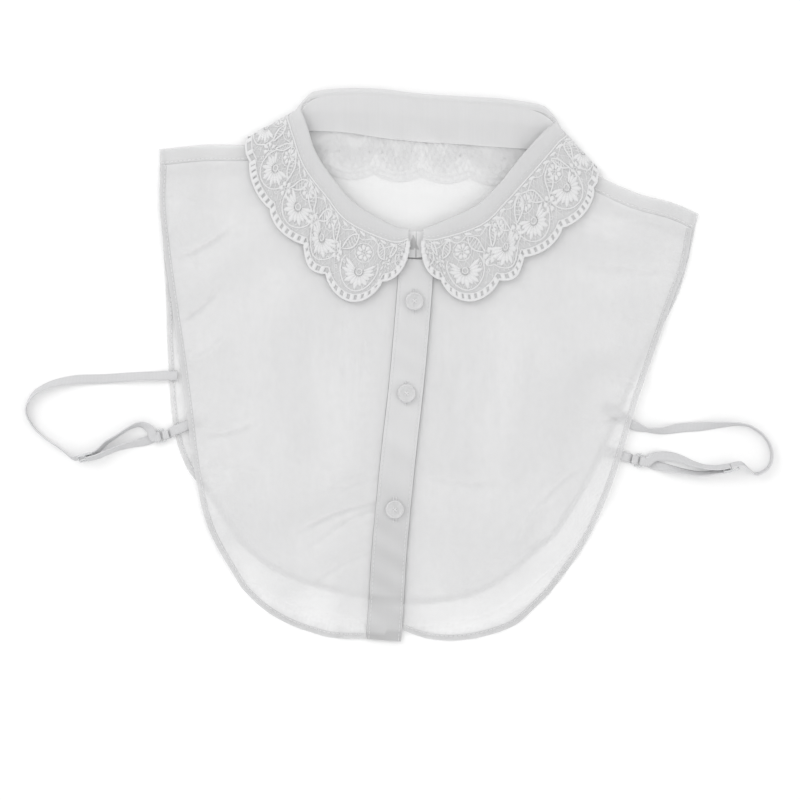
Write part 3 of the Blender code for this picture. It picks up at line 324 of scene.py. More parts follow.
# Where the collar lies under the back panel: height in metres, how fast the finish changes
# there, its colour, painted lighter as painted light in place of the shade it lies in, and the
# shares that the leaf, the lace's ground and its thread keep
UNDER_HEIGHT = 0.0030
UNDER_STEEPNESS = 700.0
UNDER_PAINTED_LIGHT = (0.97, 0.97, 0.975)
UNDER_LEAF = 0.4
UNDER_NET = 0.15
UNDER_THREAD = 0.84

# Stage: floor, camera and lights. Each light: name, x, y, z, share of the key power, width
FLOOR_HALF = 6.0
FLOOR_DROP = 0.00002
SENSOR_WIDTH = 36.0
LIGHTS = [("key", -1.5, 1.3, 1.6, 1.0, 1.2), ("fill", 1.6, -0.6, 1.8, 0.35, 1.6)]


def rise(value, low, high):
    """Goes smoothly from 0 at low to 1 at high."""
    share = min(1.0, max(0.0, (value - low) / (high - low)))
    return share * share * (3 - 2 * share)


def between(a, b, share):
    return a + (b - a) * share


def catmull(a, b, c, d, t):
    """A point of the smooth curve that runs from b to c."""
    bend = 2 * a - 5 * b + 4 * c - d
    twist = 3 * b - a - 3 * c + d
    return (2 * b + (c - a) * t + bend * t * t + twist * t * t * t) * 0.5


def through(points, place):
    """The point at a place along the points: 0 is the first, 1 the second."""
    last = len(points) - 1
    start = min(int(place), last - 1)
    before = points[start - 1] if start > 0 else 2 * points[0] - points[1]
    after = points[start + 2] if start + 2 <= last else 2 * points[last] - points[last - 1]
    return catmull(before, points[start], points[start + 1], after, place - start)


def smooth_line(points, fine=8):
    """A dense line along the smooth curve through the points."""
    vectors = [Vector(p) for p in points]
    count = (len(vectors) - 1) * fine
    return [through(vectors, i / fine) for i in range(count)] + [vectors[-1]]


def lengths(line):
    total = [0.0]
    for a, b in zip(line, line[1:]):
        total.append(total[-1] + (b - a).length)
    return total


def at_shares(line, shares):
    """Points at the given shares of the line's length."""
    total = lengths(line)
    found = []
    step = 0
    for share in shares:
        target = share * total[-1]
        while step < len(line) - 2 and total[step + 1] < target:
            step += 1
        part = (target - total[step]) / (total[step + 1] - total[step])
        found.append(between(line[step], line[step + 1], min(1.0, max(0.0, part))))
    return found


def even(count, start=0.0, end=1.0):
    return [between(start, end, i / count) for i in range(count + 1)]


def patch(south, north, west, east, across, along):
    """Rows of points that fill four edges. The rows run from west to east."""
    low, high = at_shares(south, across), at_shares(north, across)
    left, right = at_shares(west, along), at_shares(east, along)
    rows = []
    for v, start, end in zip(along, left, right):
        row = []
        for u, bottom, top in zip(across, low, high):
            corners = between(between(low[0], low[-1], u), between(high[0], high[-1], u), v)
            row.append(between(bottom, top, v) + between(start, end, u) - corners)
        rows.append(row)
    return rows


def plan(points):
    """Points of a table as flat vectors."""
    return [Vector((x, y, 0.0)) for x, y in points]


def shifted(line, distance):
    """The line moved sideways, to its left as it runs."""
    moved = []
    for i, point in enumerate(line):
        ahead = line[min(i + 1, len(line) - 1)] - line[max(i - 1, 0)]
        side = Vector((-ahead.y, ahead.x, 0.0)).normalized()
        moved.append(point + side * distance)
    return moved


@cache
def neck_rows():
    return [dict(zip(NECK_COLUMNS, row)) for row in NECK]


def neckline(first, last):
    """The neck edge of the panels between two stations, a little under the stand."""
    rows = neck_rows()
    seam = [Vector((r["seam_x"], r["seam_y"], 0.0)) for r in rows]
    names = [r["name"] for r in rows]
    start, end = names.index(first), names.index(last)
    step = 1 if end > start else -1
    centre = Vector((*NECK_CENTRE, 0.0))
    line = []
    for k in range(8 * abs(end - start) + 1):
        point = through(seam, start + step * k / 8)
        line.append(point + (centre - point).normalized() * NECK_OVERLAP)
    return line


def shoulder_seam(shoulder, side, neck_end):
    """The seam in front of a folded shoulder, from the tip to the neck."""
    line = shifted(smooth_line(plan(shoulder)), side * SHOULDER_TURN)
    miss = Vector((*neck_end, 0.0)) - line[-1]
    return [p + miss * (i / (len(line) - 1)) ** 2 for i, p in enumerate(line)]


@cache
def placket_left():
    return smooth_line(plan(PLACKET_EDGE))


def placket_right():
    return shifted(placket_left(), -PLACKET_WIDTH)


def back_outline():
    """The back panel's edge, all round, as a dense ring."""
    left = smooth_line(plan(BACK_LEFT_EDGE))
    right = smooth_line(plan(BACK_RIGHT_EDGE))
    hem = smooth_line(plan(BACK_HEM))
    neck = smooth_line(plan(LEFT_SHOULDER))
    neck += smooth_line(plan(RIGHT_SHOULDER))[::-1]
    return list(reversed(left)) + hem[1:] + right[1:] + neck[::-1]


def distance_outside(ring, x, y):
    """How far a point is outside the ring, and 0 inside it."""
    sides = list(zip(ring, ring[1:] + ring[:1]))
    inside = False
    for a, b in sides:
        if (a.y > y) != (b.y > y) and x < a.x + (y - a.y) * (b.x - a.x) / (b.y - a.y):
            inside = not inside
    if inside:
        return 0.0
    nearest = math.inf
    for a, b in sides:
        run = b - a
        square = run.length_squared
        share = 0.0 if square == 0 else ((x - a.x) * run.x + (y - a.y) * run.y) / square
        close = a + run * min(1.0, max(0.0, share))
        nearest = min(nearest, math.hypot(x - close.x, y - close.y))
    return nearest


def back_rest(x, y):
    """Height of the back panel's underside: the leaf lies under it near the neck."""
    across = rise(x, -140, -115) * (1 - rise(x, 150, 176))
    return LEAF_SPACE * across * rise(y, 88, 104)


def ridges(x, y):
    """Height that the fronts' soft ridges add."""
    height = 0.0
    for _, x0, y0, x1, y1, half_width, top in RIDGES:
        run = Vector((x1 - x0, y1 - y0))
        share = ((x - x0) * run.x + (y - y0) * run.y) / run.length_squared
        share = min(1.0, max(0.0, share))
        away = math.hypot(x - x0 - run.x * share, y - y0 - run.y * share)
        height += top * math.exp(-(away / half_width) ** 2) * (0.6 + 0.4 * share)
    return height


def strap_room(x, y):
    """Height that the fronts gain over the strap ends."""
    room = 0.0
    for _, cx, cy, radius, height in STRAP_BUMPS:
        away = math.hypot(x - cx, y - cy)
        room = max(room, height * (1 - rise(away, radius, radius + 22)))
    return room


class FrontRest:
    """Height of the fronts' underside at any place."""

    def __init__(self):
        self.ring = back_outline()

    def __call__(self, x, y, folds=1.0):
        outside = distance_outside(self.ring, x, y)
        over_back = 1 - rise(outside, 13.0, 21.0)
        return back_rest(x, y) + LAYER * over_back + ridges(x, y) * folds * over_back \
            + strap_room(x, y)


def placket_x(y):
    """x of the placket's left edge at a height."""
    line = placket_left()
    near = min(line, key=lambda p: abs(p.y - y))
    return near.x


def flat(x, y, z=0.0):
    return Vector((x, y, z))


def collar_controls(row):
    """Control points of the leaf at a station, from the stand's top to the valley."""
    top = flat(row["top_x"], row["top_y"], row["top_z"])
    seam = flat(row["seam_x"], row["seam_y"], row["seam_z"])
    edge = flat(row["edge_x"], row["edge_y"], row["edge_z"])
    up = (top - seam).normalized()
    inward = Vector((up.x, up.y, 0)).normalized()
    fall = Vector((edge.x - top.x, edge.y - top.y, 0))
    size = fall.length
    outward = fall.normalized()
    kind = row["kind"]
    drop = top.z - edge.z
    plain = PLAIN_SHARE[kind]

    def place(along_in, along_out, height):
        return top + inward * along_in + outward * along_out + Vector((0, 0, height))

    rolls = {
        "front": [(2.3, 0, 1.0), (2.6, 0, 2.2), (0.5, 0, 2.9), (0, 0.10 * size, 2.6)],
        "end": [(1.6, 0, 0.7), (1.9, 0, 1.6), (0.6, 0, 2.3), (0, 0.18 * size, 2.2)],
        "crease": [(2.0, 1.0, 0.7), (2.2, 3.0, 0.9), (1.0, 5.0, 0.8), (0.3, 0.17 * size, 0.4)],
        "back": [(2.6, 0, 0.5), (4.8, 0, -0.16 * drop), (5.0, 0, -0.6 * drop),
                 (2.0, 0, -0.88 * drop)],
    }
    shoulder = {"front": 2.4, "end": 2.2, "crease": 0.6, "back": 0.0}[kind]
    last = top + outward * plain * size
    last.z = edge.z if kind == "back" else between(top.z + shoulder, edge.z, plain)
    start = top + up * LEAF_START
    if kind == "crease":
        start = top + (up + outward * 1.6).normalized() * LEAF_START * 2
    return [start] + [place(*numbers) for numbers in rolls[kind]] + [last, edge]


class Scallop:
    """One scallop of the lace, between two valleys of the leaf's edge."""

    def __init__(self, first, last, depth):
        rows = {row["name"]: row for row in neck_rows()}
        names = list(rows)
        self.start, self.end = names.index(first), names.index(last)
        self.depth = depth
        a, b = rows[first], rows[last]
        chord = Vector((b["edge_x"] - a["edge_x"], b["edge_y"] - a["edge_y"], 0)).normalized()
        self.wraps = {a["kind"], b["kind"]} == {"front", "back"}
        side = -1 if a["kind"] == "back" else 1
        self.outward = Vector((-chord.y, chord.x, 0)) * side

    def bulge(self, share, run):
        """How far the lace reaches past its valleys, some share of the way across."""
        level = Vector((run.x, run.y, 0)).normalized()
        direction = level if self.wraps else self.outward
        return direction * self.depth * self.round(share)

    @staticmethod
    def round(share):
        return math.sin(math.pi * share) ** 0.8 if 0 < share < 1 else 0.0


def table_path(table):
    """Centre points and width directions of a strap's table."""
    places = [flat(x, y) for x, y, _, _ in table]
    points, across = [], []
    for i, (x, y, roll, lift) in enumerate(table):
        ahead = (places[min(i + 1, len(places) - 1)] - places[max(i - 1, 0)]).normalized()
        side = Vector((-ahead.y, ahead.x, 0))
        tilt = math.radians(roll)
        rest = abs(math.sin(tilt)) * STRAP_WIDTH / 2 + math.cos(tilt) * STRAP_CLOTH / 2
        points.append(flat(x, y, rest + lift))
        across.append(side * math.cos(tilt) + Vector((0, 0, math.sin(tilt))))
    return points, across


def smooth_band(points, across, step=6.0):
    """Evens out a band's points, keeping each width direction on the side of the last one."""
    aligned = [across[0]]
    for direction in across[1:]:
        aligned.append(direction if direction.dot(aligned[-1]) >= 0 else -direction)
    centre, width = [], []
    for i in range(len(points) - 1):
        count = max(1, round((points[i + 1] - points[i]).length / step))
        for k in range(count):
            centre.append(through(points, i + k / count))
            width.append(between(aligned[i], aligned[i + 1], k / count))
    return centre + [points[-1]], width + [aligned[-1]]


class Fitting:
    """Place and directions of a ring or slider: along the strap, across it and off its face."""

    def __init__(self, x, y, heading, roll=0.0, height=0.0):
        turn = math.radians(heading)
        tilt = math.radians(roll)
        self.along = Vector((math.cos(turn), math.sin(turn), 0))
        side = Vector((-self.along.y, self.along.x, 0))
        self.across = side * math.cos(tilt) + Vector((0, 0, math.sin(tilt)))
        self.face = self.along.cross(self.across)
        self.centre = flat(x, y, height)

    def at(self, along, across, face):
        return self.centre + self.along * along + self.across * across + self.face * face


def slider_fitting(numbers):
    x, y, heading, roll = numbers
    tilt = math.radians(roll)
    height = math.sin(tilt) * SLIDER_ACROSS / 2 + math.cos(tilt) * (SLIDER_THICK / 2 + SLIDER_REST)
    return Fitting(x, y, heading, roll, height)


def ring_fitting(numbers):
    x, y, heading = numbers
    return Fitting(x, y, heading, 0.0, STRAP_CLOTH + SEAM_GAP + WIRE / 2)


def turn_round_bar(fitting, bar_along, reach):
    """Band points over a ring's bar, through the slot and back under it."""
    radius = WIRE / 2 + SEAM_GAP + STRAP_CLOTH / 2
    away = 1 if reach > 0 else -1
    points = [fitting.at(bar_along + reach, 0, radius)]
    for degrees in (90, 54, 18, -18, -54, -90):
        angle = math.radians(degrees)
        points.append(fitting.at(bar_along - away * math.cos(angle) * radius, 0,
                                 math.sin(angle) * radius))
    points.append(fitting.at(bar_along + reach, 0, -radius))
    return points, [fitting.across] * len(points)


class Wire:
    """A value that runs through a node tree. Arithmetic on it adds Math nodes."""

    def __init__(self, recipe, socket):
        self.recipe = recipe
        self.socket = socket

    def maths(self, operation, *values):
        numbered = {i: value for i, value in enumerate(values)}
        return self.recipe.add("ShaderNodeMath", {"operation": operation}, numbered)

    def __add__(self, other):
        return self.maths("ADD", self, other)

    def __sub__(self, other):
        return self.maths("SUBTRACT", self, other)

    def __mul__(self, other):
        return self.maths("MULTIPLY", self, other)

    def __truediv__(self, other):
        return self.maths("DIVIDE", self, other)

    def __pow__(self, other):
        return self.maths("POWER", self, other)

    def __radd__(self, other):
        return self.maths("ADD", other, self)

    def __rsub__(self, other):
        return self.maths("SUBTRACT", other, self)

    def __rmul__(self, other):
        return self.maths("MULTIPLY", other, self)

    def __rtruediv__(self, other):
        return self.maths("DIVIDE", other, self)

    def sine(self):
        return self.maths("SINE", self)

    def size(self):
        return self.maths("ABSOLUTE", self)

    def within(self, low, high):
        return self.maths("MINIMUM", self.maths("MAXIMUM", self, low), high)


class Recipe:
    """A material and the nodes that make it."""

    def __init__(self, name):
        self.material = bpy.data.materials.new(name)
        self.material.use_nodes = True
        self.tree = self.material.node_tree
        self.tree.nodes.clear()
        self.end = self.tree.nodes.new("ShaderNodeOutputMaterial")

    def add(self, kind, settings=None, sockets=None, output=0):
        """Adds a node, sets it, then fills its sockets with values or links."""
        node = self.tree.nodes.new(kind)
        for key, value in (settings or {}).items():
            setattr(node, key, value)
        for key, value in (sockets or {}).items():
            if isinstance(value, Wire):
                self.tree.links.new(value.socket, node.inputs[key])
            else:
                node.inputs[key].default_value = value
        return Wire(self, node.outputs[output])

    def place(self):
        """The point on the object, in metres, as x, y and z."""
        point = self.add("ShaderNodeTexCoord", output="Object")
        node = self.add("ShaderNodeSeparateXYZ", sockets={"Vector": point}).socket.node
        return [Wire(self, output) for output in node.outputs]

    def cloth_place(self):
        """The point on the piece's own flat pattern, in metres, as u and v."""
        point = self.add("ShaderNodeUVMap", {"uv_map": "Pattern"})
        node = self.add("ShaderNodeSeparateXYZ", sockets={"Vector": point}).socket.node
        return Wire(self, node.outputs[0]), Wire(self, node.outputs[1])

    def in_front(self):
        """1 where the collar lies on the fronts, 0 where the back panel lies on it."""
        height = self.place()[2]
        return ((height - UNDER_HEIGHT) * UNDER_STEEPNESS).within(0.0, 1.0)

    def together(self, x, y, z=0.0):
        return self.add("ShaderNodeCombineXYZ", sockets={0: x, 1: y, 2: z})

    def noise(self, vector, scale, detail=2.0, rough=0.5):
        sockets = {"Vector": vector, "Scale": scale, "Detail": detail, "Roughness": rough}
        return self.add("ShaderNodeTexNoise", sockets=sockets)

    def blend(self, share, first, second):
        """A colour between two colours."""
        first, second = [(*c, 1.0) if isinstance(c, tuple) else c for c in (first, second)]
        sockets = {0: share, 6: first, 7: second}
        return self.add("ShaderNodeMix", {"data_type": "RGBA"}, sockets, output=2)

    def bump(self, height, depth, strength=1.0):
        sockets = {"Height": height, "Distance": depth, "Strength": strength}
        return self.add("ShaderNodeBump", sockets=sockets)

    def close(self, surface):
        self.tree.links.new(surface.socket, self.end.inputs["Surface"])
        return self.material

    def principled(self, **sockets):
        named = {key.replace("_", " "): value for key, value in sockets.items()}
        if isinstance(named.get("Base Color"), tuple):
            named["Base Color"] = (*named["Base Color"], 1.0)
        return self.add("ShaderNodeBsdfPrincipled", sockets=named)


def sheer_cloth(name, colour, cover, cloudy=0.05, slubs=0.02, deepen=0.0, under=False):
    """Plain-weave sheer cloth: fine threads, faint slubs down the grain, patchy cover and painted
    patches of light and shade.

    Where it is folded it looks closer, and a strip of several layers looks deeper there; both
    come from the fold marks, which are mostly painted shade and light. Under the back panel a
    collar piece is painted lighter, as painted light.
    """
    made = Recipe(name)
    x, y, _ = made.place()
    warp = (x * (math.tau / WARP_PITCH)).sine()
    weft = (y * (math.tau / WEFT_PITCH)).sine()
    threads = warp * weft
    slub = made.noise(made.together(x * 900.0, y * 22.0), 1.0, 3.0, 0.6)
    cloud = made.noise(made.together(x * 1.5, y), 22.0, 3.0, 0.5)
    patch_of_light = made.noise(made.together(x * 2.4, y * 0.8), 14.0, 2.0, 0.45)
    # The fold marks are mostly painted shade and light (the slope of the cloth, the strips' puckers,
    # the shadow in the gap at the stand); on the turned shoulders they are the extra layers.
    fold = made.add("ShaderNodeAttribute", {"attribute_name": "fold"}, output=2)
    # Slubs down the grain, plus painted patches of light and shade from the cloud and the patch of
    # light.
    slubs_and_light_patches = (slub - 0.5) * slubs + (cloud + patch_of_light - 1.0) * cloudy
    alpha = ((1.0 + slubs_and_light_patches * 4.0 + threads * 0.05 + fold * (1.0 - deepen)) * cover).within(0.0, 1.0)
    # Painted shade: the fold marks and the patches paint the colour darker or lighter.
    shade = (fold * deepen + slubs_and_light_patches * 2.0 + 0.08).within(0.0, 1.0)
    height = threads * 0.5 + slub * 0.6
    shown = made.blend(shade, colour, tuple(part * 0.6 for part in colour))
    # Painted light: under the back panel the piece is drawn in a lighter colour.
    if under:
        shown = made.blend(made.in_front(), UNDER_PAINTED_LIGHT, shown)
        alpha = alpha * (made.in_front() * (1.0 - UNDER_LEAF) + UNDER_LEAF)
    shader = made.principled(
        Base_Color=shown, Roughness=0.85, Alpha=alpha, Normal=made.bump(height, 0.0001, 0.35),
        Sheen_Weight=0.15, Sheen_Roughness=0.6, Specular_IOR_Level=0.2)
    return made.close(shader)


def lace_net(name, colour, cover):
    """The lace's ground: a close net of fine threads on the piece's own pattern."""
    made = Recipe(name)
    u, v = made.cloth_place()
    one = ((u + v) * (math.tau / NET_PERIOD)).sine().size()
    two = ((u - v) * (math.tau / NET_PERIOD)).sine().size()
    holes = one * two
    # Painted shadow mark: highest over the open work of the bar band, where shade falls through to the
    # cloth below.
    open_shadow = made.add("ShaderNodeAttribute", {"attribute_name": "open_work_shadow"}, output=2)
    cloud = made.noise(made.together(u, v), 240.0, 2.0)
    front = made.in_front()
    kept = front * (1.0 - UNDER_NET) + UNDER_NET
    alpha = (cover * (1.0 + (cloud - 0.5) * 0.3) * kept).within(0.0, 1.0)
    # Painted shadow in the net's holes and over the open work, with cloud that varies the tone at
    # random.
    dark = (open_shadow * 0.5 + holes * 0.3 + (cloud - 0.5) * 0.4).within(0.0, 1.0)
    deep = tuple(part * 0.92 for part in colour)
    # Painted light under the back panel, over the ground's own colour with its painted shadow.
    shader = made.principled(
        Base_Color=made.blend(front, UNDER_PAINTED_LIGHT, made.blend(dark, colour, deep)),
        Roughness=0.9, Alpha=alpha,
        Normal=made.bump(1.0 - holes, 0.00015, 0.6), Specular_IOR_Level=0.15)
    return made.close(shader)


def satin_thread(name, colour, pitch, depth=0.00012, under=False):
    """Close parallel stitches that cross a cord or petal, with a soft shine."""
    made = Recipe(name)
    u, v = made.cloth_place()
    wander = made.noise(made.together(u, v), 300.0, 2.0)
    ribs = (u * (math.tau / pitch) + wander * 2.5).sine() * 0.5 + 0.5
    thread = made.blend(ribs, tuple(part * 0.86 for part in colour), colour)
    # Painted light: under the back panel the thread is drawn in a lighter colour.
    if under:
        painted_light_thread = tuple(part * UNDER_THREAD for part in UNDER_PAINTED_LIGHT)
        thread = made.blend(made.in_front(), painted_light_thread, thread)
    shader = made.principled(
        Base_Color=thread, Roughness=0.55 + wander * 0.2, Normal=made.bump(ribs, depth, 0.7),
        Sheen_Weight=0.1, Specular_IOR_Level=0.35)
    return made.close(shader)


def woven_elastic(name, colour):
    """Narrow elastic: ribs along it, fine crossing threads between them."""
    made = Recipe(name)
    u, v = made.cloth_place()
    ribs = (v * (math.tau / 0.0011)).sine().size()
    cross = (u * (math.tau / 0.0009)).sine() * 0.5 + 0.5
    wear = made.noise(made.together(u, v), 120.0, 3.0)
    share = (cross * 0.4 + ribs * 0.6 + (wear - 0.5) * 0.3).within(0.0, 1.0)
    shader = made.principled(
        Base_Color=made.blend(share, tuple(part * 0.8 for part in colour), colour),
        Roughness=0.6 + wear * 0.2, Normal=made.bump(ribs + cross * 0.4, 0.00025, 0.7),
        Specular_IOR_Level=0.3)
    return made.close(shader)


def clear_plastic(name, colour, cover):
    """Clear moulded plastic with faint flow marks."""
    made = Recipe(name)
    x, y, z = made.place()
    flow = made.noise(made.together(x, y, z), 420.0, 2.0)
    shader = made.principled(
        Base_Color=made.blend(flow, tuple(part * 0.85 for part in colour), colour),
        Roughness=0.12 + flow * 0.15, Alpha=(cover + (flow - 0.5) * 0.2).within(0.0, 1.0),
        Coat_Weight=0.5, Coat_Roughness=0.1, IOR=1.5, Normal=made.bump(flow, 0.00005, 0.4))
    return made.close(shader)


def pearl_button(name, colour):
    """A pale resin button with a cloudy swirl."""
    made = Recipe(name)
    x, y, z = made.place()
    swirl = made.noise(made.together(x * 220.0, y * 90.0, z * 100.0), 1.0, 3.0, 0.6)
    shader = made.principled(
        Base_Color=made.blend(swirl, tuple(part * 0.84 for part in colour), colour),
        Roughness=0.18 + swirl * 0.2, Alpha=0.55 + swirl * 0.2, Coat_Weight=0.4,
        Coat_Roughness=0.12, IOR=1.5, Normal=made.bump(swirl, 0.00004, 0.3))
    return made.close(shader)


def plain_floor(name, colour):
    """A matte pale surface with very faint grain."""
    made = Recipe(name)
    x, y, _ = made.place()
    grain = made.noise(made.together(x, y), 300.0, 2.0)
    shader = made.principled(
        Base_Color=made.blend(grain, tuple(part * 0.985 for part in colour), colour),
        Roughness=0.9, Specular_IOR_Level=0.1)
    return made.close(shader)


class Finishes:
    """The materials, each made once, from the panel's settings."""

    made = {}

    @classmethod
    def get(cls, name):
        look = bpy.context.scene.collar_look
        cloth, thread = tuple(look.cloth_colour), tuple(look.thread_colour)
        doubled, leaf = tuple(look.doubled_colour), tuple(look.leaf_colour)
        makers = {
            "sheer": lambda: sheer_cloth("sheer_cloth", cloth, look.layer_cover, 0.19, 0.012, 0.5),
            "back": lambda: sheer_cloth("sheer_back_cloth", cloth, look.back_cover, deepen=0.5),
            "hem": lambda: sheer_cloth("folded_hem", leaf, look.hem_cover, 0.09, 0.09),
            "inner": lambda: sheer_cloth("inner_hem", doubled, look.inner_hem_cover, 0.2, 0.05),
            "placket": lambda: sheer_cloth("folded_strip", doubled, look.strip_cover, 0.03, 0.01, 1.0),
            "stand": lambda: sheer_cloth("stand_cloth", doubled, look.stand_cover, 0.05, 0.02, 1.0),
            "leaf": lambda: sheer_cloth("leaf_cloth", leaf, look.leaf_cover, 0.05, under=True),
            "net": lambda: lace_net("lace_ground", thread, look.net_cover),
            "satin": lambda: satin_thread("lace_satin", thread, 0.0009, under=True),
            "sewing": lambda: satin_thread("sewing_thread", thread, 0.0003, 0.00003),
            "elastic": lambda: woven_elastic("woven_elastic", tuple(look.elastic_colour)),
            "plastic": lambda: clear_plastic("clear_plastic", tuple(look.plastic_colour), 0.6),
            "pearl": lambda: pearl_button("pearl_button", tuple(look.button_colour)),
            "floor": lambda: plain_floor("pale_floor", tuple(look.floor_colour)),
        }
        if name not in cls.made:
            cls.made[name] = makers[name]()
        return cls.made[name]


class Shape:
    """Points and faces that become one mesh, in millimetres until then."""

    def __init__(self, mark_name="fold"):
        self.points = []
        self.faces = []
        self.pattern = []
        self.marks = []
        self.mark_name = mark_name

    def add_point(self, point, u=0.0, v=0.0, mark=0.0):
        self.points.append(point)
        self.pattern.append((u, v))
        self.marks.append(mark)
        return len(self.points) - 1

    def grid(self, rows, pattern, wrap=False, marks=None, skip=None):
        """Faces over rows of points. With wrap, each row closes on itself."""
        first = len(self.points)
        width = len(rows[0])
        for j, row in enumerate(rows):
            for i, point in enumerate(row):
                u, v = pattern(j, i)
                self.add_point(point, u, v, marks(j, i) if marks else 0.0)
        for j in range(len(rows) - 1):
            for i in range(width if wrap else width - 1):
                if skip and skip(j, i):
                    continue
                a, b = first + j * width + i, first + j * width + (i + 1) % width
                self.faces.append((a, b, b + width, a + width))
        return first

    def cap(self, ring):
        self.faces.append(tuple(ring))

    def tube(self, centres, ups, radius, sides=6, flat=0.8, taper=None, closed=False):
        """A round or flattened cord along the centres."""
        rows = []
        travel = [0.0]
        last = len(centres) - 1
        for i, centre in enumerate(centres):
            if closed:
                ahead = centres[(i + 1) % (last + 1)] - centres[i - 1]
            else:
                ahead = centres[min(i + 1, last)] - centres[max(i - 1, 0)]
            side = ahead.cross(ups[i]).normalized()
            up = side.cross(ahead).normalized()
            reach = radius * (taper(i / max(1, last)) if taper else 1.0)
            row = []
            for k in range(sides):
                angle = math.tau * k / sides
                row.append(centre + side * math.cos(angle) * reach
                           + up * math.sin(angle) * reach * flat)
            rows.append(row)
            if i:
                travel.append(travel[-1] + (centre - centres[i - 1]).length)
        round_step = math.tau * radius / sides
        first = self.grid(rows, lambda j, i: (travel[j] * METRES, i * round_step * METRES), True)
        if closed:
            end = first + last * sides
            for k in range(sides):
                after = (k + 1) % sides
                self.faces.append((end + k, end + after, first + after, first + k))
        else:
            self.cap([first + k for k in range(sides)][::-1])
            self.cap([first + last * sides + k for k in range(sides)])

    def make(self, name, finish_name, slot_name, nodes=()):
        """Makes the object in metres, smooth, on the body, standing for the nodes it names."""
        mesh = bpy.data.meshes.new(name)
        points = [(p.x * METRES, p.y * METRES, max(p.z, 0.02) * METRES) for p in self.points]
        mesh.from_pydata(points, [], self.faces)
        layer = mesh.uv_layers.new(name="Pattern")
        for loop in mesh.loops:
            layer.data[loop.index].uv = self.pattern[loop.vertex_index]
        if any(self.marks):
            mark = mesh.attributes.new(self.mark_name, "FLOAT", "POINT")
            mark.data.foreach_set("value", self.marks)
        mesh.validate()
        mesh.shade_smooth()
        mesh.set_sharp_from_angle(angle=math.radians(50))
        mesh.materials.append(Finishes.get(finish_name))
        thing = bpy.data.objects.new(name, mesh)
        bpy.context.scene.collection.objects.link(thing)
        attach(thing, "root")
        if nodes:
            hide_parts(*nodes)
        return thing


def cloth(thing, sheet, held, extras=()):
    """Does nothing with the piece, its sheet, how it is held or its extra parts."""


def creases(piece, x, y):
    """Height that the creases add to a piece at a place."""
    height = 0.0
    for name, x0, y0, x1, y1, half_width, top in CREASES:
        if name != piece:
            continue
        run_x, run_y = x1 - x0, y1 - y0
        share = ((x - x0) * run_x + (y - y0) * run_y) / (run_x * run_x + run_y * run_y)
        if not -0.3 < share < 1.3:
            continue
        held = min(1.0, max(0.0, share))
        bow = 2.5 * math.sin(math.pi * held)
        off_x, off_y = x - x0 - run_x * held, y - y0 - run_y * held
        length = math.hypot(run_x, run_y)
        away = (off_x * run_y - off_y * run_x) / length - bow
        past = (share - held) * length
        fade = math.sin(math.pi * (0.1 + 0.8 * held))
        height += top * fade * math.exp(-(away / half_width) ** 2 - (past / half_width / 2) ** 2)
    return height


class Cloth:
    """Heights of one panel's middle surface, with its creases and the ripple of its hems."""

    def __init__(self, piece, rest, edge):
        self.piece = piece
        self.rest = rest
        self.travel = lengths(edge)
        self.edge = KDTree(len(edge))
        for k, point in enumerate(edge):
            self.edge.insert((point.x, point.y, 0.0), k)
        self.edge.balance()

    def ripple(self, x, y):
        """A small wave that dies out away from the hem."""
        _, k, away = self.edge.find((x, y, 0.0))
        near = max(0.0, 1 - away / 14.0)
        where = self.travel[k]
        wave = math.sin(where * math.tau / RIPPLE_LENGTH + 1.7 * math.sin(where / 31.0))
        return HEM_RIPPLE * near * wave

    def __call__(self, x, y, lift=0.0):
        low = self.rest(x, y) + CLOTH / 2 + lift
        return flat(x, y, low + creases(self.piece, x, y) + self.ripple(x, y))


def painted_slope_shade(body):
    """Painted shade and light from the slope of the cloth: how much closer, and with a deepened finish
    darker, the cloth looks where it slopes away from the light, or less.
    """
    last_row, last = len(body) - 1, len(body[0]) - 1
    found = []
    for j, row in enumerate(body):
        found.append([])
        for i in range(last + 1):
            along = row[min(i + 1, last)] - row[max(i - 1, 0)]
            down = body[min(j + 1, last_row)][i] - body[max(j - 1, 0)][i]
            normal = along.cross(down)
            slope = (normal.x - normal.y) / (normal.z or 1.0)
            found[-1].append(max(-FOLD_LIMIT, min(FOLD_LIMIT, -slope * FOLD_SHADE)))
    return lambda j, i: found[j][i]


def laid(rows, surface, lift=0.0):
    """Flat points set at the height of the cloth."""
    return [[surface(p.x, p.y, lift) for p in row] for row in rows]


def seen_from_above(rows):
    """Flat pattern places, from where the points lie on the floor."""
    return lambda j, i: (rows[j][i].x * METRES, rows[j][i].y * METRES)


def trim(name, finish, rows):
    """A strip of trim over rows of points."""
    shape = Shape()
    shape.grid(rows, seen_from_above(rows))
    return shape.make(name, finish, "sheer_fabric")


def band(edge, width, surface, lift, sign, count=3):
    """Rows of a strip that runs inside an edge."""
    rows = []
    for k in range(count + 1):
        line = shifted(edge, sign * (0.15 + (width - 0.15) * k / count))
        rows.append([surface(p.x, p.y, lift) for p in line])
    return rows


def stitches(shape, line, surface, lift):
    """A row of machine stitches along a flat line."""
    total = lengths(line)
    count = int(total[-1] / STITCH_PITCH)
    shares = []
    for k in range(count):
        start = (k + 0.15) * STITCH_PITCH / total[-1]
        shares += [start, start + STITCH / 2 / total[-1], start + STITCH / total[-1]]
    spots = at_shares(line, shares)
    for k in range(count):
        ends = spots[3 * k:3 * k + 3]
        centres = [surface(p.x, p.y, lift) for p in ends]
        centres[0].z -= STITCH_LIFT
        centres[2].z -= STITCH_LIFT
        shape.tube(centres, [Vector((0, 0, 1))] * 3, THREAD, sides=4)


def smooth_edge(line, step=4.0):
    """The line again, in even steps."""
    count = max(2, round(lengths(line)[-1] / step))
    return at_shares(line, even(count))


def free_edge(*lines):
    """Edges joined into one line without doubled points."""
    joined = [lines[0][0]]
    for line in lines:
        joined += [p for p in line if (p - joined[-1]).length > 0.4]
    return smooth_edge(joined)


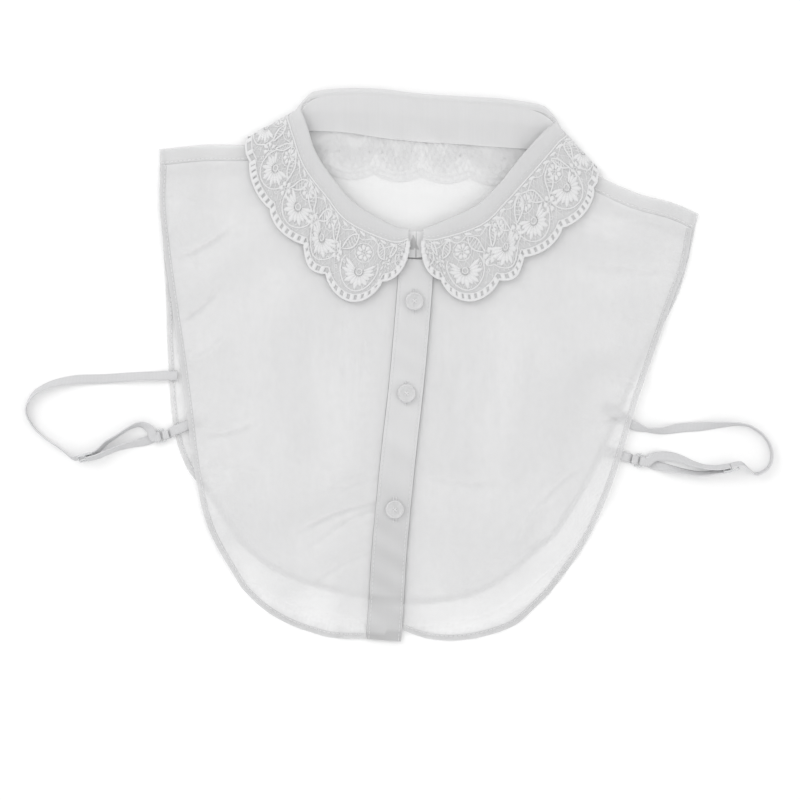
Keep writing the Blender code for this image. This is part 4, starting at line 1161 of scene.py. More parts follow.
def back_pieces():
    """The back: its cloth, turned over at the shoulders, its hem and its stitches."""
    left, right = smooth_line(plan(BACK_LEFT_EDGE)), smooth_line(plan(BACK_RIGHT_EDGE))
    hem = smooth_line(plan(BACK_HEM))
    left_shoulder = smooth_line(plan(LEFT_SHOULDER))
    right_shoulder = smooth_line(plan(RIGHT_SHOULDER))
    neck = neckline("left under", "right under")
    north = left_shoulder + neck + right_shoulder[::-1]
    total = lengths(north)
    first = total[len(left_shoulder) - 1] / total[-1]
    last = total[len(left_shoulder) + len(neck)] / total[-1]
    below_left, below_neck, below_right = BACK_COLUMNS
    across = even(below_left, 0.0, first)[:-1] + even(below_neck, first, last)[:-1]
    across += even(below_right, last, 1.0)
    rows = patch(hem, north, left, right, across, even(BACK_ROWS))
    edge = free_edge(left[::-1], hem, right)
    surface = Cloth("back", back_rest, edge)
    shape = Shape()
    body = laid(rows, surface)
    shape.grid(body, seen_from_above(rows), marks=painted_slope_shade(body))
    for side in SHOULDERS:
        turned_shoulder(shape, side)
    back = shape.make("back_cloth", "back", "sheer_fabric", ["back_panel"])
    hem_piece = trim("back_hem", "inner", band(edge, HEM_WIDTH, surface, HEM_LIFT, 1))
    sewing = Shape()
    stitches(sewing, shifted(edge, HEM_WIDTH - STITCH_INSET), surface, HEM_LIFT + STITCH_LIFT)

    def on_shoulder(x, y, lift):
        return flat(x, y, back_rest(x, y) + LAYER + CLOTH / 2 + lift)

    for shoulder, seam_end, turn, _ in SHOULDERS.values():
        seam = smooth_edge(shoulder_seam(shoulder, turn, seam_end))
        stitches(sewing, shifted(seam, -turn * SHOULDER_STITCH), on_shoulder, STITCH_LIFT)
    thread = sewing.make("back_stitches", "sewing", "sheer_fabric")
    cloth(back, "back", "laid", [hem_piece, thread])


def turned_shoulder(shape, side):
    """The part of the back that curls over a shoulder and runs to the seam in front."""
    shoulder, seam_end, turn, count = SHOULDERS[side]
    seam = at_shares(shoulder_seam(shoulder, turn, seam_end), even(count))
    fold = at_shares(smooth_line(plan(shoulder)), even(count))
    outer = (LAYER + CLOTH) / 2
    radius = outer - CLOTH / 2
    rows = []
    for degrees in (-90, -60, -30, 0, 30, 60, 90):
        angle = math.radians(degrees)
        row = []
        for i, point in enumerate(fold):
            ahead = fold[min(i + 1, count)] - fold[max(i - 1, 0)]
            normal = Vector((-ahead.y, ahead.x, 0)).normalized() * -turn
            middle = flat(point.x, point.y, back_rest(point.x, point.y) + outer)
            row.append(middle + normal * math.cos(angle) * radius
                       + Vector((0, 0, math.sin(angle) * radius)))
        rows.append(row)
    top = rows[-1]
    for share in (0.25, 0.5, 0.75, 1.0):
        row = []
        for a, b in zip(top, seam):
            height = back_rest(b.x, b.y) + outer + radius
            row.append(flat(between(a.x, b.x, share), between(a.y, b.y, share),
                            between(a.z, height, share)))
        rows.append(row)
    shape.grid(rows, seen_from_above(rows), marks=lambda j, i: SHOULDER_CLOSER if j > 3 else 0.0)


def front_left_pieces(rest):
    """The left front with its hem, shoulder seam and stitches."""
    seam = [p + Vector((0, -PANEL_GAP, 0))
            for p in shoulder_seam(LEFT_SHOULDER, -1, LEFT_SEAM_END)]
    east = [p + Vector((-SEAM_GAP, 0, 0)) for p in placket_left()]
    neck = [p for p in neckline("left 5", "left end") if p.x < east[-1].x - 3]
    neck = [p for p in neck if p.y < seam[-1].y - 3] + [east[-1]]
    north = seam + neck
    west = smooth_line(plan(LEFT_EDGE[:-1]) + [seam[0]])
    south = smooth_line(plan(LEFT_HEM[:-1]) + [east[0]])
    rows = patch(south, north, west, east, even(FRONT_COLUMNS), even(FRONT_ROWS))

    def raised(x, y):
        line = placket_x(y)
        return rest(x, y) + PLACKET_RISE * rise(x, line - 2 - PLACKET_SLOPE, line - 2)

    edge = free_edge(west[::-1], south)
    front_pieces("left", rows, raised, edge, seam)


def front_right_pieces(rest):
    """The right front with its hem, shoulder seam and stitches."""
    seam = [p + Vector((-PANEL_GAP / 2, -PANEL_GAP, 0))
            for p in shoulder_seam(RIGHT_SHOULDER, 1, RIGHT_SEAM_END)]
    west = [p + Vector((SEAM_GAP, 0, 0)) for p in placket_right()]
    west = [p for p in west if p.y > RIGHT_HEM[0][1] + 6]
    west = [Vector((*RIGHT_HEM[0], 0.0))] + west
    neck = [p for p in neckline("right 5", "right end") if p.x > west[-1].x + 3]
    neck = [p for p in neck if p.y < seam[-1].y - 3] + [west[-1]]
    north = neck[::-1] + seam[::-1]
    east = smooth_line(plan(RIGHT_EDGE[:-1]) + [seam[0]])
    south = smooth_line(plan(RIGHT_HEM))
    rows = patch(south, north, west, east, even(FRONT_COLUMNS), even(FRONT_ROWS))
    edge = free_edge(south, east)
    front_pieces("right", rows, rest, edge, seam)


def front_pieces(side, rows, rest, edge, seam):
    """A front's cloth, folded hem, seam allowance and stitches."""
    name = "front_" + side
    surface = Cloth(side, rest, edge)
    shape = Shape()
    body = laid(rows, surface)
    shape.grid(body, seen_from_above(rows), marks=painted_slope_shade(body))
    panel = shape.make(name + "_cloth", "sheer", "sheer_fabric", ["front_panel_" + side])
    hem = trim(name + "_hem", "hem", band(edge, HEM_WIDTH, surface, HEM_LIFT, 1))
    inward = -1 if side == "left" else 1
    allowance = band(smooth_edge(seam), SEAM_ALLOWANCE, surface, -HEM_LIFT, inward, 4)
    inside = trim(name + "_seam_allowance", "inner", allowance)
    sewing = Shape()
    stitches(sewing, shifted(edge, HEM_WIDTH - STITCH_INSET), surface, HEM_LIFT + STITCH_LIFT)
    thread = sewing.make(name + "_stitches", "sewing", "sheer_fabric")
    cloth(panel, "front", "laid", [hem, inside, thread])


def folded_strip(name, node, rest, base):
    """One closing strip: two faces of cloth that meet at its folded edges."""
    left = at_shares(placket_left(), even(STRIP_ROWS))
    right = at_shares(placket_right(), even(STRIP_ROWS))
    shape = Shape()
    for face in (STRIP_SWELL, -STRIP_SWELL):
        rows = []
        for a, b in zip(left, right):
            row = []
            for share in even(STRIP_COLUMNS):
                p = between(a, b, share)
                swell = face * (1 - abs(2 * share - 1) ** 6)
                middle = rest(p.x, p.y, 0.0) + base + PLACKET_CLOTH / 2
                row.append(flat(p.x, p.y, middle + swell + strip_pucker(p.x, p.y)))
            rows.append(row)
        # Painted shade and light on the puckers, and darker towards the foot, carried in the fold
        # marks.
        shades = [[strip_shade(p.x, p.y) for p in row] for row in rows]
        shape.grid(rows, seen_from_above(rows), marks=lambda j, i, shades=shades: shades[j][i])
    return shape.make(name, "placket", "sheer_fabric", [node])


def closing_pieces(rest):
    """The button stand, and over it the placket with its edge stitching and buttonholes."""
    under = folded_strip("button_stand_cloth", "button_stand", rest, 0.0)
    cloth(under, "strip", "folded")
    base = PLACKET_CLOTH + SEAM_GAP
    strip = folded_strip("placket_cloth", "placket", rest, base)

    def top(x, y, lift):
        middle = rest(x, y, 0.0) + base + PLACKET_CLOTH / 2
        return flat(x, y, middle + STRIP_SWELL + strip_pucker(x, y) + lift)

    sewing = Shape()
    for inset in (STRIP_STITCH_INSET, PLACKET_WIDTH - STRIP_STITCH_INSET):
        line = shifted(smooth_edge(placket_left()), -inset)
        stitches(sewing, line, top, STRIP_STITCH_LIFT)
    for _, x, y in BUTTONS:
        buttonhole(sewing, x, y, top)
    thread = sewing.make("placket_stitches", "sewing", "sheer_fabric")
    cloth(strip, "strip", "folded", [thread])


def strip_pucker(x, y):
    """Puckers that run across the closing strips at a slant, deeper near the foot."""
    slant = y + x * 0.75
    depth = 0.10 + 0.16 * rise(-y, 20.0, 150.0)
    return depth * math.sin(slant / 4.6 + 1.3 * math.sin(slant / 23.0)) * math.sin(y / 13.0 + 0.8)


def strip_shade(x, y):
    """Darkening of a closing strip: painted shade and light on the slopes of its puckers, and darker
    towards its foot.
    """
    slope = strip_pucker(x + 1.0, y - 1.0) - strip_pucker(x - 1.0, y + 1.0)
    turned_up = y < PLACKET_EDGE[0][1] + HEM_WIDTH + 0.6
    foot = 0.30 * rise(-y, 40.0, 130.0) + (0.34 if turned_up else 0.0)
    back_hem_y = -152.0 - 0.1 * (x + 8.0)
    hem_under = 0.3 * math.exp(-((y - back_hem_y) / 2.2) ** 2)
    wander = 0.6 + 0.4 * math.sin(y / 7.3 + x / 5.0) * math.sin(y / 19.0 + 1.2)
    return foot + hem_under - 0.02 - 3.4 * slope * wander


def buttonhole(shape, x, y, surface):
    """A worked buttonhole that shows above and below its button."""
    for k in range(HOLE_STITCHES):
        along = -HOLE_REACH + 2 * HOLE_REACH * (k + 0.5) / HOLE_STITCHES
        for side in (-1, 1):
            centres = [surface(x + side * 0.25, y + along, 0.1),
                       surface(x + side * (HOLE_HALF + 0.25), y + along, 0.1)]
            shape.tube(centres, [Vector((0, 0, 1))] * 2, HOLE_THREAD, sides=4)


def button_pieces(rest):
    """The buttons, turned with a raised rim and four holes, and the thread that holds each."""
    for name, x, y in BUTTONS:
        base = rest(x, y, 0.0) + 2 * PLACKET_CLOTH + 2 * SEAM_GAP
        shape = Shape()
        rows = []
        for radius, height in BUTTON_PROFILE:
            row = []
            for k in range(BUTTON_SIDES):
                angle = math.tau * k / BUTTON_SIDES
                row.append(Vector((x + radius * math.cos(angle), y + radius * math.sin(angle),
                                   base + height)))
            rows.append(row)
        shape.grid(rows, lambda j, i, rows=rows: ((rows[j][i].x - x) * METRES,
                                                  (rows[j][i].y - y) * METRES), wrap=True)
        disc = shape.make(f"shirt_button_{name}", "pearl", "button", ["button_" + name])
        weld(disc)
        bore_holes(disc, x, y, base)
        thread = Shape()
        for sx, sy, ex, ey in ((-1, -1, 1, 1), (-1, 1, 1, -1)):
            centres = []
            for share in even(6):
                px = x + BUTTON_THREAD_SPAN * between(sx, ex, share)
                py = y + BUTTON_THREAD_SPAN * between(sy, ey, share)
                crown = BUTTON_THREAD_LOW + BUTTON_THREAD_RISE * math.sin(math.pi * share)
                centres.append(flat(px, py, base + crown))
            thread.tube(centres, [Vector((0, 0, 1))] * len(centres), BUTTON_THREAD, sides=6)
        thread.make(f"button_thread_{name}", "sewing", "button")


def weld(thing):
    """Joins doubled points, as at the middle of a turned piece."""
    bm = bmesh.new()
    bm.from_mesh(thing.data)
    bmesh.ops.remove_doubles(bm, verts=bm.verts, dist=0.000002)
    bmesh.ops.recalc_face_normals(bm, faces=bm.faces)
    bm.to_mesh(thing.data)
    bm.free()
    thing.data.set_sharp_from_angle(angle=math.radians(50))


def bore_holes(disc, x, y, base):
    """Cuts the four holes of a button."""
    cutters = []
    for k in range(4):
        angle = math.radians(45 + 90 * k)
        px = x + BUTTON_HOLE_PLACE * math.cos(angle)
        py = y + BUTTON_HOLE_PLACE * math.sin(angle)
        shape = Shape()
        centres = [flat(px, py, base - 2.0), flat(px, py, base + 5.0)]
        shape.tube(centres, [Vector((1, 0, 0))] * 2, BUTTON_HOLE, sides=16, flat=1.0)
        mesh = bpy.data.meshes.new("hole")
        mesh.from_pydata([p * METRES for p in shape.points], [], shape.faces)
        cutter = bpy.data.objects.new("hole", mesh)
        bpy.context.scene.collection.objects.link(cutter)
        cut = disc.modifiers.new("hole", "BOOLEAN")
        cut.operation = "DIFFERENCE"
        cut.object = cutter
        cutters.append(cutter)
    bake_modifiers(disc)
    for cutter in cutters:
        bpy.data.objects.remove(cutter)


def bake_modifiers(thing):
    """Turns the evaluated mesh into the object's own mesh."""
    bpy.context.view_layer.update()
    graph = bpy.context.evaluated_depsgraph_get()
    mesh = bpy.data.meshes.new_from_object(thing.evaluated_get(graph))
    thing.modifiers.clear()
    thing.data = mesh
    mesh.shade_smooth()
    mesh.set_sharp_from_angle(angle=math.radians(40))


class Leaf:
    """The collar's leaf on one half, as a dense net of points that lace is laid on."""

    fine = 14
    deep = 18

    def __init__(self, side):
        self.side = side
        self.scallops = [Scallop(*row) for row in SCALLOPS]
        middle = [s.end for s in self.scallops].index(CENTRE_BACK) + 1
        self.scallops = self.scallops[:middle] if side == "left" else self.scallops[middle:]
        controls = [collar_controls(row) for row in neck_rows()]
        self.lanes = [list(lane) for lane in zip(*controls)]
        self.columns, self.cloth = [], []
        for k, scallop in enumerate(self.scallops):
            steps = self.fine + (1 if k == len(self.scallops) - 1 else 0)
            for step in range(steps):
                share = step / self.fine
                place = between(scallop.start, scallop.end, share)
                section = [through(lane, place) for lane in self.lanes]
                inner, edge = section[-2], section[-1]
                run = edge - inner
                tip = edge + scallop.bulge(share, run)
                self.columns.append([between(inner, tip, j / self.deep)
                                     for j in range(self.deep + 1)])
                self.cloth.append(section[:-1])
        self.count = len(self.scallops)
        self.normals = [[self.normal(i, j) for j in range(self.deep + 1)]
                        for i in range(len(self.columns))]

    def normal(self, i, j):
        k = min(max(i, 1), len(self.columns) - 2)
        along = self.columns[k + 1][j] - self.columns[k - 1][j]
        down = self.columns[k][min(j + 1, self.deep)] - self.columns[k][max(j - 1, 0)]
        return along.cross(down).normalized()

    def at(self, u, t, lift=0.0):
        """The point at u scallops along and t from the inner seam to the tip."""
        x = min(max(u, 0.0), self.count) * self.fine
        y = min(max(t, 0.0), 1.0) * self.deep
        i, j = min(int(x), len(self.columns) - 2), min(int(y), self.deep - 1)
        a, b = x - i, y - j

        def mixed(table):
            return (table[i][j] * (1 - a) * (1 - b) + table[i + 1][j] * a * (1 - b)
                    + table[i][j + 1] * (1 - a) * b + table[i + 1][j + 1] * a * b)

        up = mixed(self.normals).normalized()
        point = mixed(self.columns) + up * lift
        return point, up

    def reach(self, u):
        """Length in millimetres from the inner seam to the tip."""
        return max(4.0, (self.at(u, 1.0)[0] - self.at(u, 0.0)[0]).length)

    def pace(self, u, t):
        """Millimetres along the leaf for each scallop."""
        low, high = max(0.0, u - 0.04), min(float(self.count), u + 0.04)
        return max(4.0, (self.at(high, t)[0] - self.at(low, t)[0]).length / (high - low))


class Lace:
    """Motifs worked in thread on a leaf."""

    def __init__(self, leaf):
        self.leaf = leaf
        self.shape = Shape()

    def cord(self, path, radius, flat_share=0.8, closed=False, taper=None, lift=None, sides=6):
        centres, ups = [], []
        for u, t in path:
            point, up = self.leaf.at(u, t, radius * 0.45 if lift is None else lift)
            centres.append(point)
            ups.append(up)
        self.shape.tube(centres, ups, radius, sides=sides, flat=flat_share, taper=taper,
                        closed=closed)

    def local(self, u, t, across, outward):
        """A place some millimetres along and outward from another."""
        return u + across / self.leaf.pace(u, t), t + outward / self.leaf.reach(u)

    def ring(self, u, t, radius, thread):
        path = []
        for k in range(12):
            angle = math.tau * k / 12
            path.append(self.local(u, t, radius * math.cos(angle), radius * math.sin(angle)))
        if all(0.01 < b < 0.985 and 0.0 < a < self.leaf.count for a, b in path):
            self.cord(path, thread, closed=True, sides=5)

    def petal(self, u, t, angle, start, length, width, height=0.5):
        """A raised satin petal that points along an angle from outward."""
        turn = math.radians(angle)
        rows, marks = [], []
        steps, half = 7, 2
        for a in range(steps + 1):
            share = a / steps
            along = start + length * share
            reach = width / 2 * math.sin(math.pi * min(1.0, 0.06 + 0.92 * share ** 1.25)) ** 0.75
            row = []
            for b in range(-half, half + 1):
                side = reach * b / half
                dx = along * math.sin(turn) + side * math.cos(turn)
                dy = along * math.cos(turn) - side * math.sin(turn)
                spot = self.local(u, t, dx, dy)
                if not (-0.001 <= spot[0] <= self.leaf.count + 0.001 and 0.0 <= spot[1] <= 1.0):
                    return
                crown = 1 - (b / half) ** 2
                row.append(self.leaf.at(*spot, 0.12 + height * crown)[0])
            rows.append(row)
            marks.append(along)
        pitch = width / (2 * half)
        self.shape.grid(rows, lambda j, i: (marks[j] * METRES, i * pitch * METRES))

    def inward(self, u, distance):
        """The share t at some millimetres in from the tip."""
        return 1 - distance / self.leaf.reach(u)

    def edge(self, k):
        """The corded outline of a scallop and a satin band with slots through it."""
        leaf = self.leaf
        path, inner = [], []
        for step in range(29):
            u = k + step / 28
            path.append((u, self.inward(u, EDGE_CORD * 0.7)))
            inner.append((u, max(0.2, self.inward(u, BAR_BAND + EDGE_CORD))))
        self.cord(path, EDGE_CORD, 0.75)
        self.cord(inner, INNER_CORD, 0.9)
        bars = max(3, round(leaf.pace(k + 0.5, 0.95) / BAR_PITCH))
        for bar in range(bars):
            u = k + (bar + 0.5) / bars
            start, end = self.inward(u, BAR_BAND + EDGE_CORD), self.inward(u, EDGE_CORD * 1.1)
            if start > 0.1:
                path = [(u, between(start, end, share)) for share in (0.0, 0.33, 0.67, 1.0)]
                self.cord(path, BAR, 0.35, sides=6)

    def fan(self, k):
        """A half flower with long petals, an arc round it and a small rosette behind."""
        leaf = self.leaf
        u = k + 0.5
        size = min(1.2, leaf.reach(u) / FULL_SECTION)
        if size < 0.4:
            return
        t = self.inward(u, FAN_REACH * size)
        for petal in range(FAN_PETALS):
            angle = -112 + 224 * petal / (FAN_PETALS - 1)
            long = 7.4 if petal % 2 == 0 else 5.6
            self.petal(u, t, angle, 2.5 * size, long * size, 2.2 * size, 0.6)
        arc = []
        for step in range(29):
            angle = math.radians(-118 + 236 * step / 28)
            radius = FAN_ARC * size
            arc.append(self.local(u, t, radius * math.sin(angle), radius * math.cos(angle)))
        self.cord(arc, 0.5, 0.9)
        self.ring(u, t, 1.6 * size, 0.45)
        back = self.inward(u, (FAN_REACH + 10.6) * size)
        if back > 0.1:
            for petal in range(8):
                self.petal(u, back, 45 * petal + 22, 1.3 * size, 3.1 * size, 2.1 * size, 0.55)
            self.ring(u, back, 0.95 * size, 0.36)
            self.ring(u, back, 5.2 * size, 0.36)

    def flower(self, k):
        """A round flower between two fans, with a pair of laddered loops behind it."""
        leaf = self.leaf
        u = min(max(float(k), 0.35), leaf.count - 0.35)
        size = min(1.15, leaf.reach(u) / FULL_SECTION)
        if size < 0.45:
            return
        t = self.inward(u, FLOWER_REACH * size)
        for petal in range(6):
            self.petal(u, t, 60 * petal, 1.4 * size, 3.3 * size, 2.6 * size, 0.6)
        self.ring(u, t, 1.05 * size, 0.4)
        for lean in (-1, 1):
            self.loop(u, t, 180 + 34 * lean, 4.6 * size, 13.5 * size, 5.2 * size)
        for angle in (30, -30, 90, -90):
            turn = math.radians(angle)
            spot = self.local(u, t, 6.6 * size * math.sin(turn), 6.6 * size * math.cos(turn))
            self.ring(*spot, 0.8 * size, 0.34)

    def loop(self, u, t, angle, start, length, width):
        """A raised drop-shaped cord with bars across it."""
        turn = math.radians(angle)

        def spot(along, side):
            return self.local(u, t, along * math.sin(turn) + side * math.cos(turn),
                              along * math.cos(turn) - side * math.sin(turn))

        def reach(share):
            return width / 2 * math.sin(math.pi * share ** 1.4) ** 0.8 if 0 < share < 1 else 0.0

        shares = [k / 14 for k in range(15)]
        outline = [spot(start + length * q, reach(q)) for q in shares]
        outline += [spot(start + length * q, -reach(q)) for q in shares[-2:0:-1]]
        limit = self.leaf.count
        if any(not (0.02 < b < 0.98 and 0.0 < a < limit) for a, b in outline):
            return
        self.cord(outline, 0.55, 0.9, closed=True, lift=0.4)
        for q in (0.34, 0.48, 0.62, 0.76, 0.88):
            along, side = start + length * q, reach(q)
            self.cord([spot(along, -side), spot(along, 0.0), spot(along, side)], 0.34, 0.8, sides=5)

    def filling(self):
        """A slanted lattice of fine threads behind the motifs."""
        leaf = self.leaf
        long = sum(leaf.pace(k + 0.5, 0.5) for k in range(leaf.count))
        count = int(long / LATTICE)
        for lean in (-1, 1):
            for k in range(-4, count + 5):
                path = []
                start = leaf.count * k / count
                for step in range(15):
                    t = 0.03 + 0.82 * step / 14
                    u = start + lean * t * 0.62
                    if 0.0 < u < leaf.count and leaf.reach(u) * (1 - t) > BAR_BAND + EDGE_CORD:
                        path.append((u, t))
                if len(path) > 3:
                    self.cord(path, LATTICE_THREAD, 0.9, sides=3)

    def border(self):
        """The cord along the inner seam, a waved cord and the leaves between them."""
        leaf = self.leaf
        steps = leaf.count * 26
        straight, waved = [], []
        travel = 0.0
        for step in range(steps + 1):
            u = leaf.count * step / steps
            if step:
                travel += leaf.pace(u, 0.1) * leaf.count / steps
            straight.append((u, 0.9 / leaf.reach(u)))
            wave = 5.2 + 1.5 * math.sin(travel * math.tau / (2 * LEAF_PITCH))
            waved.append((u, min(0.8, wave / leaf.reach(u))))
        self.cord(straight, 0.5, 0.8)
        self.cord(waved, 0.4, 0.9)
        travel, due, sign = 0.0, LEAF_PITCH / 2, 1
        for step in range(steps):
            u = leaf.count * (step + 0.5) / steps
            travel += leaf.pace(u, 0.1) * leaf.count / steps
            if travel < due:
                continue
            due += LEAF_PITCH
            sign = -sign
            self.petal(u, 3.0 / leaf.reach(u), 90 * sign + 20, -2.6, 5.2, 1.9, 0.4)


def collar_pieces(side):
    """The stand, the plain part of the leaf and the lace on one half."""
    leaf = Leaf(side)
    stand = stand_piece(side)
    plain = Shape()
    dense = []
    for k in range(4 * (len(leaf.cloth[0]) - 1)):
        dense.append([through(section, k / 4) for section in leaf.cloth])
    dense.append([section[-1] for section in leaf.cloth])
    plain.grid(dense, pattern_of(dense))
    leaf_cloth = plain.make(f"collar_leaf_{side}", "leaf", "collar_fabric",
                            ["collar_cloth_" + side])
    sewing = Shape()
    thread_row(sewing, dense[-3], LEAF_STITCH_LIFT)
    thread = sewing.make(f"collar_stitches_{side}", "sewing", "collar_fabric")
    net = Shape("open_work_shadow")
    rows = [[leaf.columns[i][j] for i in range(len(leaf.columns))] for j in range(leaf.deep + 1)]
    reaches = [leaf.reach(i / leaf.fine) for i in range(len(leaf.columns))]

    # Painted shadow mark: full over the open work between the edge cord and the bar band's inner side,
    # less elsewhere.
    def open_work_shadow(j, i):
        away = (1 - j / leaf.deep) * reaches[i]
        return 1.0 if EDGE_CORD < away < BAR_BAND + EDGE_CORD else 0.3

    net.grid(rows, pattern_of(rows), marks=open_work_shadow)
    ground = net.make(f"lace_ground_{side}", "net", "lace", ["collar_lace_" + side])
    lace = Lace(leaf)
    lace.filling()
    for k in range(leaf.count):
        lace.edge(k)
        lace.fan(k)
    for k in range(1, leaf.count):
        lace.flower(k)
    lace.border()
    work = lace.shape.make(f"lace_work_{side}", "satin", "lace")
    cloth(stand, "stand", "folded")
    cloth(leaf_cloth, "leaf", "folded", [thread])
    cloth(ground, "lace", "folded", [work])


def pattern_of(rows):
    """Flat pattern places, from the distances along and across the rows."""
    along = [lengths(row) for row in rows]
    across = [lengths([row[i] for row in rows]) for i in range(len(rows[0]))]
    return lambda j, i: (along[j][i] * METRES, across[i][j] * METRES)


def thread_row(shape, spots, lift):
    """Machine stitches along a line in space."""
    line = at_shares(spots, even(int(lengths(spots)[-1] / STITCH_PITCH * 2)))
    up = Vector((0, 0, lift))
    for k in range(0, len(line) - 1, 2):
        a, b = line[k] + up, between(line[k], line[k + 1], STITCH / STITCH_PITCH * 1.2) + up
        shape.tube([a, b], [Vector((0, 0, 1))] * 2, THREAD, sides=4)


def gap_shade(point):
    """1 where a shadow is painted in the gap between the stand's front ends, just above the placket.
    """
    half = GAP_HALF - GAP_TAPER * (point.y - GAP_FOOT)
    return 1.0 if GAP_FOOT < point.y < GAP_TOP and abs(point.x - GAP_X) < half else 0.0


def stand_piece(side):
    """Half of the band round the neck, as one sheet from its lower edge up under the roll of the leaf.
    """
    rows = neck_rows()
    seams = [flat(r["seam_x"], r["seam_y"], r["seam_z"]) for r in rows]
    tops = []
    for row, seam in zip(rows, seams):
        top = flat(row["top_x"], row["top_y"], row["top_z"])
        tops.append(top + (seam - top).normalized() * STAND_CUT.get(row["name"], 0.0))
    arches = [Vector((0, 0, STAND_ARCH[r["kind"]])) for r in rows]
    low, high = (0.0, CENTRE_BACK) if side == "left" else (CENTRE_BACK, len(rows) - 1.0)
    columns = []
    for place in even(STAND_COLUMNS, low, high):
        top, seam, arch = through(tops, place), through(seams, place), through(arches, place)
        up = (top - seam).normalized()
        top = top + up * STAND_TUCK
        behind = rise(place, *STAND_DROP_STARTS) * (1 - rise(place, *STAND_DROP_ENDS))
        seam = seam - up * STAND_DROP * behind
        column = []
        for share in even(STAND_ROWS):
            lift = arch * 4 * share * (1 - share)
            column.append(between(seam, top, share) + lift)
        columns.append(column)
    lines = [[column[k] for column in columns] for k in range(STAND_ROWS + 1)]
    shape = Shape()
    # The marks paint a shadow in the gap between the stand's front ends.
    shape.grid(lines, pattern_of(lines), marks=lambda j, i: gap_shade(lines[j][i]))
    return shape.make(f"neck_stand_{side}", "stand", "collar_fabric", ["collar_stand_" + side])


def elastic_ribbon(name, points, across, nodes):
    """A flat elastic band with rounded edges."""
    shape = Shape()
    dense, sides = [], []
    for i in range(len(points) - 1):
        for k in range(3):
            dense.append(through(points, i + k / 3))
            sides.append(between(across[i], across[i + 1], k / 3))
    dense.append(points[-1])
    sides.append(across[-1])
    rows, travel = [], [0.0]
    half, thick = STRAP_WIDTH / 2, STRAP_CLOTH / 2
    for i, point in enumerate(dense):
        ahead = (dense[min(i + 1, len(dense) - 1)] - dense[max(i - 1, 0)]).normalized()
        side = (sides[i] - ahead * sides[i].dot(ahead)).normalized()
        face = ahead.cross(side).normalized()
        rows.append([point + side * a * half + face * b * thick for a, b in RIBBON_OUTLINE])
        if i:
            travel.append(travel[-1] + (point - dense[i - 1]).length)
    count = len(RIBBON_OUTLINE)
    widths = [a * half for a, _ in RIBBON_OUTLINE]
    first = shape.grid(rows, lambda j, i: (travel[j] * METRES, widths[i] * METRES), True)
    shape.cap([first + k for k in range(count)][::-1])
    shape.cap([first + (len(rows) - 1) * count + k for k in range(count)])
    return shape.make(name, "elastic", "elastic", nodes)


def strap_pieces(side):
    """The long strap, the doubled one and the tab of a side."""
    left = side == "left"
    slide = slider_fitting(LEFT_SLIDER if left else RIGHT_SLIDER)
    loop = ring_fitting(LEFT_RING if left else RIGHT_RING)
    rise_off = (SLIDER_THICK / 2 + SEAM_GAP + STRAP_CLOTH / 2) * (-1 if left else 1)
    points, across = table_path(LEFT_STRAP if left else RIGHT_STRAP)
    points += [slide.at(-SLIDER_LEAVE, 0, rise_off), slide.at(-SLIDER_MIDDLE, 0, rise_off)]
    across += [slide.across] * 2
    elastic_ribbon(f"elastic_long_{side}", *smooth_band(points, across), ["strap_" + side])
    upper, lower = (LEFT_UPPER, LEFT_LOWER) if left else (RIGHT_UPPER, RIGHT_LOWER)
    out_points, out_across = table_path(upper[::-1])
    back_points, back_across = table_path(lower[::-1])
    turn_points, turn_across = turn_round_bar(loop, (RING_ALONG - WIRE) / 2, LOOP_REACH)
    points = [slide.at(SLIDER_MIDDLE, 0, rise_off), slide.at(SLIDER_RETURN, 0, rise_off)]
    points += out_points + turn_points + back_points
    points += [slide.at(SLIDER_RETURN, 0, -rise_off), slide.at(2 * SLIDER_MIDDLE, 0, -rise_off)]
    across = [slide.across] * 2 + out_across + turn_across + back_across + [slide.across] * 2
    elastic_ribbon(f"elastic_doubled_{side}", *smooth_band(points, across), ["strap_loop_" + side])
    end = LEFT_TAB_END if left else RIGHT_TAB_END
    turn_points, turn_across = turn_round_bar(loop, -(RING_ALONG - WIRE) / 2, -TAB_REACH)
    height = LAYER + STRAP_CLOTH / 2
    inner = flat(*end, height)
    run = (inner - loop.centre).normalized()
    sideways = Vector((-run.y, run.x, 0))
    edge_on = loop.centre + Vector((run.x, run.y, 0)) * (TAB_REACH + TAB_RUN)
    points = turn_points + [flat(edge_on.x, edge_on.y, height), inner]
    points, across = smooth_band(points, turn_across + [sideways] * 2, step=9.0)
    elastic_ribbon(f"elastic_tab_{side}", points, across, ["tab_" + side])


def rounded_loop(half_along, half_across, radius, steps=6):
    """Points round a rectangle with rounded corners."""
    path = []
    for sx, sy in ((1, 1), (-1, 1), (-1, -1), (1, -1)):
        centre = Vector((sx * (half_along - radius), sy * (half_across - radius), 0))
        start = math.degrees(math.atan2(sy, sx)) - 45
        for k in range(steps + 1):
            angle = math.radians(start + 90 * k / steps)
            path.append(centre + Vector((math.cos(angle), math.sin(angle), 0)) * radius)
    return path


